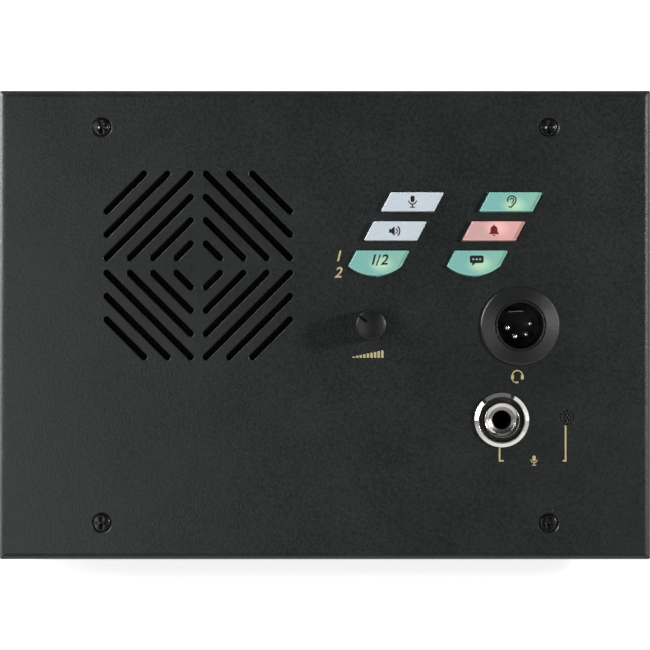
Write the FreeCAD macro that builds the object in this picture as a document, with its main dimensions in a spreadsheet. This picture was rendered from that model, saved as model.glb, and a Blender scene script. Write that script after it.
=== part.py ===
import FreeCAD, Part
import math
import os
import re
import Sketcher

# Desktop intercom speaker station: a folded control panel on a sloped sheet steel case.
# The panel's frame has its origin at the middle of the panel's face, X across to the right,
# Y up the slope and Z out of the face. The object's frame has Z up and Y to the rear.

doc = FreeCAD.newDocument("speaker_station")
sizes = doc.addObject("Spreadsheet::Sheet", "sizes")

# Driving sizes, millimetres and degrees
SIZES = [
    ("tilt", 30, "slope of the panel from level"),
    ("front_height", 30, "lower edge of the panel's face above the table"),
    ("panel_width", 227, "panel, across"),
    ("panel_height", 163.5, "panel, up the slope"),
    ("panel_wall", 2, "panel sheet"),
    ("panel_flange", 12, "depth of the folded edge"),
    ("bend_radius", 1.8, "outside of the panel's fold"),
    ("case_gap", 0.5, "case wall to the inside of the panel's fold"),
    ("case_wall", 1.5, "case sheet"),
    ("knee_depth", 15, "rear wall square to the panel, before it turns down"),
    ("lip_width", 17, "case lips that carry the panel"),
    ("side_lip_width", 8, "case lips along the sides"),
    ("screw_across", 35.75, "panel screws, in from the panel's sides"),
    ("screw_up", 12.9, "panel screws, in from its upper and lower edges"),
    ("screw_head", 7.3, "panel screw head"),
    ("screw_head_depth", 2, "panel screw head, cone height"),
    ("screw_shank", 3.5, "panel screw shank"),
    ("screw_length", 11, "panel screw, overall"),
    ("screw_recess", 1.3, "depth of the cross recess"),
    ("recess_span", 4.9, "cross recess, tip to tip"),
    ("recess_arm", 1, "cross recess, width of an arm"),
    ("hole_play", 0.3, "clearance hole over its screw, on the diameter"),
    ("nut_width", 8, "clinch nut"),
    ("nut_depth", 4, "clinch nut behind the lip"),
    ("datum_down", 81.75, "line that the controls are set out from, below the upper edge"),
    ("speaker_across", -44.1, "speaker centre, from the panel's middle"),
    ("speaker_up", 0.3, "grille cloth, clear of the rear lip"),
    ("slot_width", 2.3, "grille slot"),
    ("slot_first", 10.2, "first slot line, distance along the axes"),
    ("slot_pitch", 8.1, "next slot line"),
    ("slot_gap", 2.65, "slot end centre to the middle lines"),
    ("slot_reach", 31.85, "slot end centre, farthest from the middle"),
    ("cloth_radius", 41.2, "grille cloth"),
    ("cloth_thick", 0.6, "grille cloth"),
    ("gasket_inner", 2.4, "speaker gasket, width of its ring"),
    ("gasket_thick", 1.5, "speaker gasket"),
    ("basket_side", 1.2, "speaker frame, its sides inside the cloth's edge"),
    ("basket_corner", 8, "speaker frame, corner radius"),
    ("basket_wall", 1.2, "speaker frame sheet"),
    ("basket_mouth", 2.4, "speaker frame, its mouth inside the cone's lip"),
    ("basket_depth", 20, "speaker frame, flange to back"),
    ("basket_back", 20, "speaker frame, radius of its back"),
    ("stud_spread", 6, "speaker studs, in from the frame's sides"),
    ("stud_width", 3, "speaker stud"),
    ("stud_length", 9, "speaker stud"),
    ("speaker_nut", 5.5, "speaker nut across flats"),
    ("speaker_nut_depth", 2.4, "speaker nut"),
    ("basket_hole", 13, "speaker frame, hole in its back, radius"),
    ("basket_rim", 3.5, "sheet left above and below a basket window"),
    ("cone_neck", 11, "speaker cone, radius of its neck"),
    ("cone_drop", 11, "speaker cone, rim to neck"),
    ("cone_paper", 0.6, "speaker cone"),
    ("cone_lip", 0.4, "cone's surround, clear of the gasket"),
    ("surround_drop", 1.6, "folded surround of the cone"),
    ("surround_width", 5, "folded surround of the cone"),
    ("dust_cap_radius", 13, "dome over the voice coil"),
    ("dust_cap_rise", 3.6, "dome over the voice coil"),
    ("dust_cap_flat", 4, "flat at the top of the dome, radius"),
    ("dust_cap_shoulder", 0.62, "share of the rise half way down the dome"),
    ("glue_gap", 0.1, "glue line between the moving parts of the speaker"),
    ("coil_wall", 0.6, "voice coil"),
    ("coil_gap", 0.5, "voice coil to the steel round it and inside it"),
    ("coil_overhang", 2, "voice coil behind the front plate"),
    ("magnet_radius", 25, "ring magnet"),
    ("magnet_bore", 13.5, "ring magnet, inner radius"),
    ("magnet_depth", 9, "ring magnet"),
    ("plate_radius", 22, "steel plates of the magnet"),
    ("plate_depth", 3, "steel plates of the magnet"),
    ("key_length", 18.5, "key cap, along its level edges"),
    ("key_height", 6.65, "key cap, up the slope"),
    ("key_slant", 28, "lean of the key cap's ends"),
    ("key_side_drop", 5.4, "round bottomed key, straight end, up the slope"),
    ("key_sag", 3.36, "round bottomed key, rise of its arc"),
    ("key_across", 30.35, "top left key centre"),
    ("key_up", 42.7, "top left key centre, above the set-out line"),
    ("key_column", 34.2, "left keys to right keys"),
    ("key_row", 10.1, "row to row"),
    ("key_step", 5.95, "each row moves left"),
    ("key_stand", 2, "key cap above the panel"),
    ("low_key_stand", 1.3, "round bottomed key cap above the panel"),
    ("key_play", 0.35, "key cap to its window"),
    ("key_wall", 1.1, "key cap wall"),
    ("key_edge", 0.5, "bevelled top edge of a key cap"),
    ("key_skirt", 5.5, "key cap below the panel's face"),
    ("key_flange", 1, "rim that keeps the key in"),
    ("key_flange_play", 0.3, "rim to the back of the panel"),
    ("stem_radius", 1.7, "key stem"),
    ("stem_shift", 3.5, "key stem, left of the middle"),
    ("stem_reach", 9.9, "end of the key stem below the panel's face"),
    ("board_gap", 12, "back of the panel to the circuit board"),
    ("board_thick", 1.6, "circuit board"),
    ("board_left", 4, "circuit board edge"),
    ("board_right", 86, "circuit board edge"),
    ("board_top", 57, "circuit board edge, above the set-out line"),
    ("board_step", 13, "lower edge of its right part, above the set-out line"),
    ("board_leg_right", 43, "right edge of its lower part"),
    ("board_bottom", -15, "circuit board edge, above the set-out line"),
    ("standoff_radius", 2.75, "board standoff"),
    ("standoff_bore", 2.5, "board standoff thread"),
    ("standoff_edge", 5, "standoff centre to the board's edge"),
    ("board_screw_head", 5, "board screw"),
    ("board_screw_head_depth", 1.7, "board screw"),
    ("board_screw_length", 6, "board screw below its head"),
    ("board_screw_shank", 2.4, "board screw"),
    ("switch_side", 7.2, "key switch housing"),
    ("switch_depth", 6, "key switch housing"),
    ("well_radius", 2.1, "key switch, opening for the stem"),
    ("well_depth", 3.6, "key switch, opening for the stem"),
    ("lamp_shift", 3.5, "lamp, right of the middle of its key"),
    ("lamp_radius", 1.5, "lamp"),
    ("lamp_rim", 1.9, "lamp rim"),
    ("lamp_height", 5.2, "lamp above its spacer"),
    ("spacer_radius", 2.3, "lamp spacer"),
    ("spacer_height", 5, "lamp spacer"),
    ("volume_across", 15.8, "volume control"),
    ("volume_up", 0.1, "volume control, above the set-out line"),
    ("knob_radius", 5.35, "volume knob"),
    ("knob_top_radius", 5, "volume knob, at its top edge"),
    ("knob_height", 14.5, "volume knob"),
    ("knob_lift", 0.6, "volume knob above the panel"),
    ("knob_crown", 0.8, "rise of the knob's domed top"),
    ("knob_edge", 0.9, "rounding between the knob's dome and its side"),
    ("pointer_angle", 144, "pointer at rest, from level, anticlockwise"),
    ("pointer_start", 1.8, "pointer notch, inner end"),
    ("pointer_end", 5.6, "pointer notch, run out through the knob's side"),
    ("pointer_width", 1, "pointer notch"),
    ("pointer_depth", 0.7, "pointer notch"),
    ("shaft_radius", 3, "control shaft"),
    ("shaft_play", 0.05, "control shaft in its bush and knob, on the radius"),
    ("shaft_top", 12, "end of the control shaft above the panel"),
    ("shaft_bottom", 12.5, "end of the control shaft below the panel"),
    ("pot_side", 11, "volume control housing"),
    ("pot_depth", 6.5, "volume control housing"),
    ("bush_radius", 4.2, "volume control bush"),
    ("bush_gap", 0.6, "bush to the back of the panel"),
    ("shaft_hole_radius", 3.6, "panel hole for the control shaft"),
    ("headset_across", 67.8, "headset socket"),
    ("headset_up", -0.2, "headset socket, above the set-out line"),
    ("headset_turn", 11, "headset socket turned anticlockwise"),
    ("headset_flange_radius", 13.75, "headset socket flange"),
    ("headset_flange_thick", 2, "headset socket flange, at its mouth"),
    ("headset_fall", 1.2, "fall of the flange's coned face to its edge"),
    ("headset_bevel", 0.6, "headset socket flange edge"),
    ("headset_lip_radius", 8.7, "raised lip round the mouth"),
    ("headset_lip_rise", 0.2, "raised lip round the mouth"),
    ("headset_bore", 8.05, "headset socket mouth, radius"),
    ("headset_barrel", 9.7, "headset socket barrel, radius"),
    ("headset_depth", 17.5, "barrel behind the panel's face"),
    ("headset_floor", 12.5, "pin carrier's face below the panel's face"),
    ("carrier_play", 0.05, "carrier in its shell, on the radius"),
    ("carrier_thick", 7, "pin carrier"),
    ("pin_radius", 1, "contact pin"),
    ("pin_circle", 4.08, "headset pins, circle radius"),
    ("pin_angle", 180, "first headset pin, from level, before the socket's turn"),
    ("pin_tip", 4, "headset pin tips below the panel's face"),
    ("pin_tail", 4, "solder tail behind the carrier"),
    ("keyway_width", 2.2, "key slot in the mouth"),
    ("keyway_rise", 0.9, "key slot in the mouth"),
    ("keyway_depth", 9, "key slot in the mouth"),
    ("tab_width", 5.4, "ground tab in the mouth"),
    ("tab_thick", 0.4, "ground tab in the mouth"),
    ("tab_up", 5.1, "ground tab above the socket's middle"),
    ("tab_length", 4.5, "ground tab"),
    ("ring_nut_radius", 12.5, "headset ring nut"),
    ("ring_nut_depth", 3, "headset ring nut"),
    ("jack_across", 61.4, "gooseneck microphone jack"),
    ("jack_up", -33, "gooseneck microphone jack, above the set-out line"),
    ("collar_radius", 9.5, "jack collar"),
    ("collar_bore", 7.9, "jack collar thread"),
    ("collar_rise", 2, "jack collar above the panel"),
    ("collar_fall", 0.95, "fall of the collar's coned face to its edge"),
    ("collar_edge", 0.25, "jack collar, inner edge"),
    ("collar_barrel", 8.6, "jack collar, radius behind the panel"),
    ("collar_depth", 8, "jack collar behind the panel's face"),
    ("thread_depth", 4.5, "floor of the thread below the panel's face"),
    ("nose_radius", 6.05, "jack nose"),
    ("nose_mouth", 4.5, "jack nose, flared mouth"),
    ("nose_rise", 2.6, "jack nose above the panel"),
    ("nose_bevel", 0.7, "jack nose, outer edge"),
    ("jack_bore", 3.25, "plug bore, radius"),
    ("jack_depth", 30, "plug bore below the panel's face"),
    ("jack_body_radius", 7.5, "jack body"),
    ("jack_end", 1.5, "jack body behind the plug bore"),
    ("collar_nut_radius", 11.5, "jack nut"),
    ("collar_nut_depth", 3, "jack nut"),
    ("mic_across", 84.1, "panel microphone"),
    ("mic_up", -32.2, "panel microphone, above the set-out line"),
    ("mic_hole", 0.65, "sound hole, diameter"),
    ("mic_ring", 1.15, "ring to ring of the sound holes"),
    ("capsule_radius", 4.85, "microphone capsule"),
    ("capsule_depth", 4.5, "microphone capsule"),
    ("capsule_gap", 1, "capsule to the back of the panel"),
    ("boot_radius", 6.5, "rubber boot"),
    ("boot_depth", 6.5, "rubber boot"),
    ("foot_radius", 7, "rubber foot"),
    ("foot_top_radius", 8, "rubber foot, at the case"),
    ("foot_height", 5, "rubber foot"),
    ("foot_across", 190, "feet, centre to centre"),
    ("foot_front_in", 16, "front feet, from the floor's front edge"),
    ("foot_rear_in", 16, "rear feet, from the floor's rear edge"),
    ("foot_screw_head", 6, "foot screw head"),
    ("foot_screw_head_depth", 2, "foot screw head"),
    ("foot_screw_shank", 3, "foot screw"),
    ("foot_screw_end", 1, "foot screw beyond its nut"),
    ("foot_recess", 3.2, "recess in the foot's underside"),
    ("foot_nut", 5.5, "foot nut across flats"),
    ("foot_nut_depth", 2.4, "foot nut"),
    ("line_in_across", -26, "line input socket"),
    ("line_out_across", 26, "line output socket"),
    ("line_up", 44, "line sockets above the table"),
    ("line_width", 26, "line socket flange"),
    ("line_height", 31, "line socket flange"),
    ("line_corner", 3, "line socket flange corner"),
    ("line_flange", 2.6, "line socket flange"),
    ("line_barrel", 11.8, "line socket barrel, radius"),
    ("line_hole_play", 0.2, "line socket barrel to its hole"),
    ("line_depth", 22, "line socket barrel inside the case"),
    ("line_screw_x", 9.5, "line socket screw from the middle"),
    ("line_screw_y", 12, "line socket screw from the middle"),
    ("line_screw_head", 5.6, "line socket screw head"),
    ("line_screw_head_depth", 1.6, "line socket screw head"),
    ("line_screw_shank", 3, "line socket screw"),
    ("line_screw_length", 7, "line socket screw below its head"),
    ("out_bore", 8.05, "line output mouth, radius"),
    ("out_floor", 12, "line output carrier below the flange's face"),
    ("in_ring", 9.6, "line input, outside of the ring gap"),
    ("in_core", 7.9, "line input, radius of the core"),
    ("in_floor", 14, "line input, depth of the ring gap"),
    ("line_pin_circle", 4, "line pins, circle radius"),
    ("line_pin_radius", 1.2, "line pin"),
    ("line_pin_tip", 3, "line pin tips below the flange's face"),
    ("contact_play", 0.1, "line input contact hole over its pin, on the radius"),
    ("latch_width", 8, "release tab"),
    ("latch_height", 2, "release tab"),
    ("latch_up", 13.5, "release tab above the socket's middle"),
    ("latch_stand", 2.4, "release tab beyond the flange"),
    ("latch_play", 0.25, "release tab to its slot"),
    ("latch_reach", 6, "release tab inside the case"),
    ("latch_rim", 1.5, "shoulder that keeps the release tab in"),
]
for row, (alias, value, note) in enumerate(SIZES, 1):
    sizes.set(f"A{row}", note)
    sizes.set(f"B{row}", str(value))
    sizes.setAlias(f"B{row}", alias)
doc.recompute()
ALIASES = {alias for alias, value, note in SIZES}

# Rules that several pieces share, written with the sheet's own names
WALL_REACH = "(panel_height / 2 - panel_wall - case_gap)"
REAR_STAND = "(line_flange + latch_stand)"
FOLD_SHORT = "(bend_radius * (cos(tilt) + sin(tilt) - 1))"
PANEL_Y = (f"(((panel_height / 2 - {WALL_REACH}) * cos(tilt) - knee_depth * sin(tilt)"
           f" - {REAR_STAND} - {FOLD_SHORT}) / 2)")
PANEL_Z = "(front_height + panel_height / 2 * sin(tilt))"
REAR_Y = f"({PANEL_Y} + {WALL_REACH} * cos(tilt) + knee_depth * sin(tilt))"
CASE_HALF = "(panel_width / 2 - panel_wall - case_gap)"
SET_OUT = "(panel_height / 2 - datum_down)"
SCREW_X = "(panel_width / 2 - screw_across)"
SCREW_Y = "(panel_height / 2 - screw_up)"
BACK = "(0 - panel_wall)"
BOARD_FACE = "(0 - panel_wall - board_gap)"

# Loudspeaker, outwards in: cloth, gasket, cone and mouth of the frame
SPEAKER = ("speaker_across", f"({WALL_REACH} - lip_width - speaker_up - cloth_radius)")
GASKET_BORE = "(cloth_radius - gasket_inner)"
CONE_LIP = f"({GASKET_BORE} - cone_lip)"
MOUTH = f"({CONE_LIP} - basket_mouth)"
FRAME_SIDE = "(2 * (cloth_radius - basket_side))"
STUDS = f"({FRAME_SIDE} - 2 * stud_spread)"


def set_out(piece):
    """A piece's place on the panel, across and up, held to the panel's upper edge."""
    return f"{piece}_across", f"({SET_OUT} + {piece}_up)"


def board_edge(side):
    return f"({SET_OUT} + board_{side})"


def bound(rule):
    """The rule as an expression on the sheet."""
    return re.sub(r"[a-z_]+", lambda word: f"sizes.{word[0]}" if word[0] in ALIASES else word[0], rule)


def worth(rule):
    """The rule's value at the sheet's present sizes."""
    return float(sizes.evalExpression(bound(rule)))


def new_body(name, several=False):
    body = doc.addObject("PartDesign::Body", name)
    body.Label = name
    body.AllowCompound = several
    return body


def own_plane(body, role):
    return next(part for part in body.Origin.OriginFeatures if part.Role == role)


def lean(item, across="0", up="0"):
    """Stands a sub-part on the panel's face, at a place given in the panel's frame."""
    item.Placement = FreeCAD.Placement(FreeCAD.Vector(), FreeCAD.Rotation(FreeCAD.Vector(1, 0, 0), 1))
    item.setExpression(".Placement.Rotation.Angle", bound("tilt"))
    item.setExpression(".Placement.Base.x", bound(across))
    item.setExpression(".Placement.Base.y", bound(f"{PANEL_Y} + ({up}) * cos(tilt)"))
    item.setExpression(".Placement.Base.z", bound(f"{PANEL_Z} + ({up}) * sin(tilt)"))


def face_rear(item, across):
    """Stands a sub-part on the rear wall, its own Z out of the wall and its own Y up."""
    item.Placement = FreeCAD.Placement(FreeCAD.Vector(), FreeCAD.Rotation(FreeCAD.Vector(0, 1, 1), 180))
    item.setExpression(".Placement.Base.x", bound(across))
    item.setExpression(".Placement.Base.y", bound(REAR_Y))
    item.setExpression(".Placement.Base.z", bound("line_up"))


def sketch(body, name, role="XY_Plane", x="0", y="0", level="0"):
    """An empty sketch on one of the body's own planes, moved by x, y and level."""
    drawing = body.newObject("Sketcher::SketchObject", name)
    drawing.AttachmentSupport = [(own_plane(body, role), "")]
    drawing.MapMode = "FlatFace"
    for axis, rule in (("x", x), ("y", y), ("z", level)):
        if rule != "0":
            drawing.setExpression(f".AttachmentOffset.Base.{axis}", bound(rule))
    return drawing


def fix(drawing, kind, edge, point, rule):
    """Ties one coordinate of a point, or the radius of an edge, to a rule."""
    if kind == "Radius":
        place = drawing.addConstraint(Sketcher.Constraint(kind, edge, worth(rule)))
    else:
        place = drawing.addConstraint(Sketcher.Constraint(kind, -1, 1, edge, point, worth(rule)))
    drawing.setExpression(f"Constraints[{place}]", bound(rule))


def bow(start, stop, radius):
    """An anticlockwise arc between two corners, about a centre left of the way."""
    chord = stop - start
    reach = math.sqrt(max(radius ** 2 - (chord.Length / 2) ** 2, 0))
    left = FreeCAD.Vector(-chord.y, chord.x, 0).normalize()
    centre = (start + stop) / 2 + left * reach
    angles = [math.atan2(spot.y - centre.y, spot.x - centre.x) for spot in (start, stop)]
    ring = Part.Circle(centre, FreeCAD.Vector(0, 0, 1), radius)
    return Part.ArcOfCircle(ring, angles[0], angles[1])


def outline(drawing, corners, bows=None):
    """
    A closed outline through the corners, anticlockwise. bows gives the radius of each edge
    that is an arc, by its number.
    """
    bows = bows or {}
    spots = [FreeCAD.Vector(worth(x), worth(y), 0) for x, y in corners]
    edges = []
    for number, start in enumerate(spots):
        stop = spots[(number + 1) % len(spots)]
        if number in bows:
            edges.append(drawing.addGeometry(bow(start, stop, worth(bows[number]))))
        else:
            edges.append(drawing.addGeometry(Part.LineSegment(start, stop)))
    for edge, after in zip(edges, edges[1:] + edges[:1]):
        drawing.addConstraint(Sketcher.Constraint("Coincident", edge, 2, after, 1))
    for number, (edge, (x, y)) in enumerate(zip(edges, corners)):
        if x == "0":
            drawing.addConstraint(Sketcher.Constraint("PointOnObject", edge, 1, -2))
        else:
            fix(drawing, "DistanceX", edge, 1, x)
        fix(drawing, "DistanceY", edge, 1, y)
        if number in bows:
            fix(drawing, "Radius", edge, 0, bows[number])
    return drawing


def oblong(drawing, width, height):
    """A rectangle about the sketch's origin."""
    x, y = f"({width}) / 2", f"({height}) / 2"
    return outline(drawing, [(f"0 - {x}", f"0 - {y}"), (x, f"0 - {y}"), (x, y), (f"0 - {x}", y)])


def circle(drawing, radius, x="0", y="0"):
    centre = FreeCAD.Vector(worth(x), worth(y), 0)
    edge = drawing.addGeometry(Part.Circle(centre, FreeCAD.Vector(0, 0, 1), worth(radius)))
    fix(drawing, "DistanceX", edge, 3, x)
    fix(drawing, "DistanceY", edge, 3, y)
    fix(drawing, "Radius", edge, 0, radius)
    return drawing


def round_slot(drawing, start, stop, half_width):
    """A slot with round ends about two centres, tangent all round."""
    a = FreeCAD.Vector(worth(start[0]), worth(start[1]), 0)
    b = FreeCAD.Vector(worth(stop[0]), worth(stop[1]), 0)
    half = worth(half_width)
    along = (b - a).normalize() * half
    side = FreeCAD.Vector(-along.y, along.x, 0)
    near = drawing.addGeometry(Part.Arc(a + side, a - along, a - side))
    right = drawing.addGeometry(Part.LineSegment(a - side, b - side))
    far = drawing.addGeometry(Part.Arc(b - side, b + along, b + side))
    left = drawing.addGeometry(Part.LineSegment(b + side, a + side))
    loop = ((near, 2, right, 1), (right, 2, far, 1), (far, 2, left, 1), (left, 2, near, 1))
    for edge, end, after, begin in loop:
        drawing.addConstraint(Sketcher.Constraint("Tangent", edge, end, after, begin))
    drawing.addConstraint(Sketcher.Constraint("Equal", near, far))
    for edge, centre in ((near, start), (far, stop)):
        fix(drawing, "DistanceX", edge, 3, centre[0])
        fix(drawing, "DistanceY", edge, 3, centre[1])
    fix(drawing, "Radius", near, 0, half_width)


def pad(body, name, drawing, length, down=False):
    feature = body.newObject("PartDesign::Pad", name)
    feature.Profile = drawing
    feature.setExpression("Length", bound(length))
    feature.Reversed = down
    return feature


def pocket(body, name, drawing, depth=None, upward=False):
    """Cuts below the sketch, or above it; with no depth it cuts right through."""
    feature = body.newObject("PartDesign::Pocket", name)
    feature.Profile = drawing
    if depth:
        feature.setExpression("Length", bound(depth))
    else:
        feature.Type = 1
    feature.Reversed = upward
    return feature


def turn(body, name, drawing, cut=False):
    """A full turn of the sketch about its own vertical axis, added or cut away."""
    feature = body.newObject("PartDesign::Groove" if cut else "PartDesign::Revolution", name)
    feature.Profile = drawing
    feature.ReferenceAxis = (drawing, ["V_Axis"])
    feature.Angle = 360
    return feature


def turned(name, corners, bows=None):
    """A body turned from a half section given as (radius, height) corners."""
    body = new_body(name)
    section = outline(sketch(body, f"{name}_section", "XZ_Plane"), corners, bows)
    turn(body, f"{name}_turned", section)
    return body


def tube(name, inner, outer, top, length):
    """A body that is a plain ring, from its top level down."""
    body = new_body(name)
    ring = sketch(body, f"{name}_ring", level=top)
    circle(ring, outer)
    if inner != "0":
        circle(ring, inner)
    pad(body, f"{name}_length", ring, length, down=True)
    return body


def soften(body, name, radius, test, kind="Fillet", size="Radius"):
    """Rounds or bevels the edges of the body's last feature that pass the test."""
    doc.recompute()
    base = body.Tip
    names = [f"Edge{n}" for n, edge in enumerate(base.Shape.Edges, 1) if test(edge)]
    feature = body.newObject(f"PartDesign::{kind}", name)
    feature.Base = (base, names)
    feature.setExpression(size, bound(radius))
    return feature


def spin(body, name, features, drawing, count):
    """Repeats features evenly round the sketch's origin."""
    feature = body.newObject("PartDesign::PolarPattern", name)
    feature.Originals = features
    feature.Axis = (drawing, ["N_Axis"])
    feature.Angle = 360
    feature.Occurrences = count
    body.Tip = feature
    return feature


def quarter(body, name, features):
    """Repeats features in the four corners, mirrored in the body's two upright planes."""
    feature = body.newObject("PartDesign::MultiTransform", name)
    feature.Originals = features
    mirrors = []
    for role in ("YZ_Plane", "XZ_Plane"):
        mirror = body.newObject("PartDesign::Mirrored", f"{name}_{role[:2].lower()}")
        mirror.MirrorPlane = (own_plane(body, role), [""])
        mirrors.append(mirror)
    feature.Transformations = mirrors
    body.Tip = feature
    return feature


def upright(edge):
    """True for an edge that runs along the body's own Z."""
    box = edge.BoundBox
    return box.ZLength > 0.1 and box.XLength < 1e-4 and box.YLength < 1e-4


def at_level(edge, level):
    """True for an edge that lies at one level of the body's own Z."""
    box = edge.BoundBox
    return abs(box.ZMin - level) < 1e-4 and abs(box.ZMax - level) < 1e-4


# Key outlines: a leaning parallelogram, or the same with its lower edge swept to an arc
KEYS = [
    ("mic_key", 0, 0, False),
    ("speaker_key", 0, 1, False),
    ("channel_key", 0, 2, True),
    ("listen_key", 1, 0, False),
    ("call_key", 1, 1, False),
    ("talk_key", 1, 2, True),
]


def key_place(column, row):
    across = f"(key_across + {column} * key_column - {row} * key_step)"
    up = f"({SET_OUT} + key_up - {row} * key_row)"
    return across, up


def key_corners(grow, rounded, x="0", y="0"):
    """Corners and arcs of a key's outline, grown by a margin all round."""
    half = f"(key_length / 2 + ({grow}) / cos(key_slant))"
    top = f"(key_height / 2 + ({grow}))"
    low = "(key_side_drop - key_height / 2)" if rounded else top
    lean_top = f"{top} * tan(key_slant)"
    lean_low = f"{low} * tan(key_slant)"
    corners = [
        (f"{x} - {half} - {lean_low}", f"{y} - {low}"),
        (f"{x} + {half} - {lean_low}", f"{y} - {low}"),
        (f"{x} + {half} + {lean_top}", f"{y} + {top}"),
        (f"{x} - {half} + {lean_top}", f"{y} + {top}"),
    ]
    sag = f"(key_sag + ({grow}))"
    bows = {0: f"(({half} * {half} + {sag} * {sag}) / (2 * {sag}))"} if rounded else {}
    return corners, bows


def front_panel():
    """Folded panel with the speaker grille, key windows, socket holes and speaker studs."""
    body = new_body("front_panel")
    lean(body)
    blank = oblong(sketch(body, "blank"), "panel_width", "panel_height")
    pad(body, "tray", blank, "panel_flange", down=True)
    soften(body, "fold", "bend_radius", lambda edge: at_level(edge, 0))
    inside = oblong(sketch(body, "inside", level="0 - panel_flange"),
                    "panel_width - 2 * panel_wall", "panel_height - 2 * panel_wall")
    pocket(body, "hollow", inside, "panel_flange - panel_wall", upward=True)

    slots = sketch(body, "slots", "XY_Plane", *SPEAKER)
    for line in range(6):
        reach = f"(slot_first + {line} * slot_pitch)"
        far = f"min({reach} - slot_gap; slot_reach)"
        near = f"({reach} - {far})"
        round_slot(slots, (far, near), (near, far), "slot_width / 2")
    quadrant = pocket(body, "slot_quadrant", slots)
    spin(body, "grille", [quadrant], slots, 4)

    windows = sketch(body, "windows")
    for name, column, row, rounded in KEYS:
        corners, bows = key_corners("key_play", rounded, *key_place(column, row))
        outline(windows, corners, bows)
    pocket(body, "key_windows", windows)

    holes = sketch(body, "holes")
    circle(holes, "shaft_hole_radius", *set_out("volume"))
    circle(holes, "headset_barrel + hole_play / 2", *set_out("headset"))
    circle(holes, "collar_barrel + hole_play / 2", *set_out("jack"))
    circle(holes, "mic_hole / 2", *set_out("mic"))
    pocket(body, "control_holes", holes)
    for ring, count in ((1, 6), (2, 12)):
        sound = sketch(body, f"sound_ring_{ring}", "XY_Plane", *set_out("mic"))
        circle(sound, "mic_hole / 2", f"{ring} * mic_ring")
        hole = pocket(body, f"sound_hole_{ring}", sound)
        spin(body, f"sound_holes_{ring}", [hole], sound, count)

    sink = sketch(body, "countersink", "XZ_Plane", x=SCREW_X, level=f"0 - {SCREW_Y}")
    shank = "(screw_shank + hole_play) / 2"
    mouth = "(screw_head + hole_play) / 2"
    outline(sink, [("0", "0 - 2 * panel_wall"), (shank, "0 - 2 * panel_wall"),
                   (shank, "0 - screw_head_depth"), (mouth, "0"), ("0", "0")])
    cut = turn(body, "screw_hole", sink, cut=True)
    quarter(body, "screw_holes", [cut])

    studs = sketch(body, "studs", "XY_Plane", *SPEAKER, BACK)
    for x, y in in_corners(STUDS):
        circle(studs, "stud_width / 2", x, y)
    pad(body, "speaker_studs", studs, "stud_length", down=True)
    return body


def panel_screws():
    """Four flat head screws with cross recesses, one turned and mirrored to the corners."""
    body = new_body("panel_screws", several=True)
    lean(body)
    section = sketch(body, "section", "XZ_Plane", x=SCREW_X, level=f"0 - {SCREW_Y}")
    face = "0 - recess_arm / 10"
    shank = "screw_shank / 2"
    outline(section, [("0", "0 - screw_length"), (shank, "0 - screw_length"),
                      (shank, "0 - screw_head_depth"),
                      ("screw_head / 2", face), ("0", face)])
    screw = turn(body, "screw", section)
    cuts = []
    for name, wide, tall in (("level_arm", "recess_span", "recess_arm"),
                             ("upright_arm", "recess_arm", "recess_span")):
        arm = sketch(body, name, x=SCREW_X, y=SCREW_Y)
        oblong(arm, wide, tall)
        cuts.append(pocket(body, f"{name}_cut", arm, "screw_recess"))
    quarter(body, "screws", [screw] + cuts)
    return body


def panel_nuts():
    """Four clinch nuts under the case lips."""
    body = new_body("panel_nuts", several=True)
    lean(body)
    drawing = sketch(body, "nut_outline", x=SCREW_X, y=SCREW_Y,
                     level="0 - panel_wall - case_wall")
    circle(drawing, "nut_width / 2")
    circle(drawing, "screw_shank / 2 + shaft_play")
    nut = pad(body, "nut", drawing, "nut_depth", down=True)
    quarter(body, "nuts", [nut])
    return body


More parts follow.
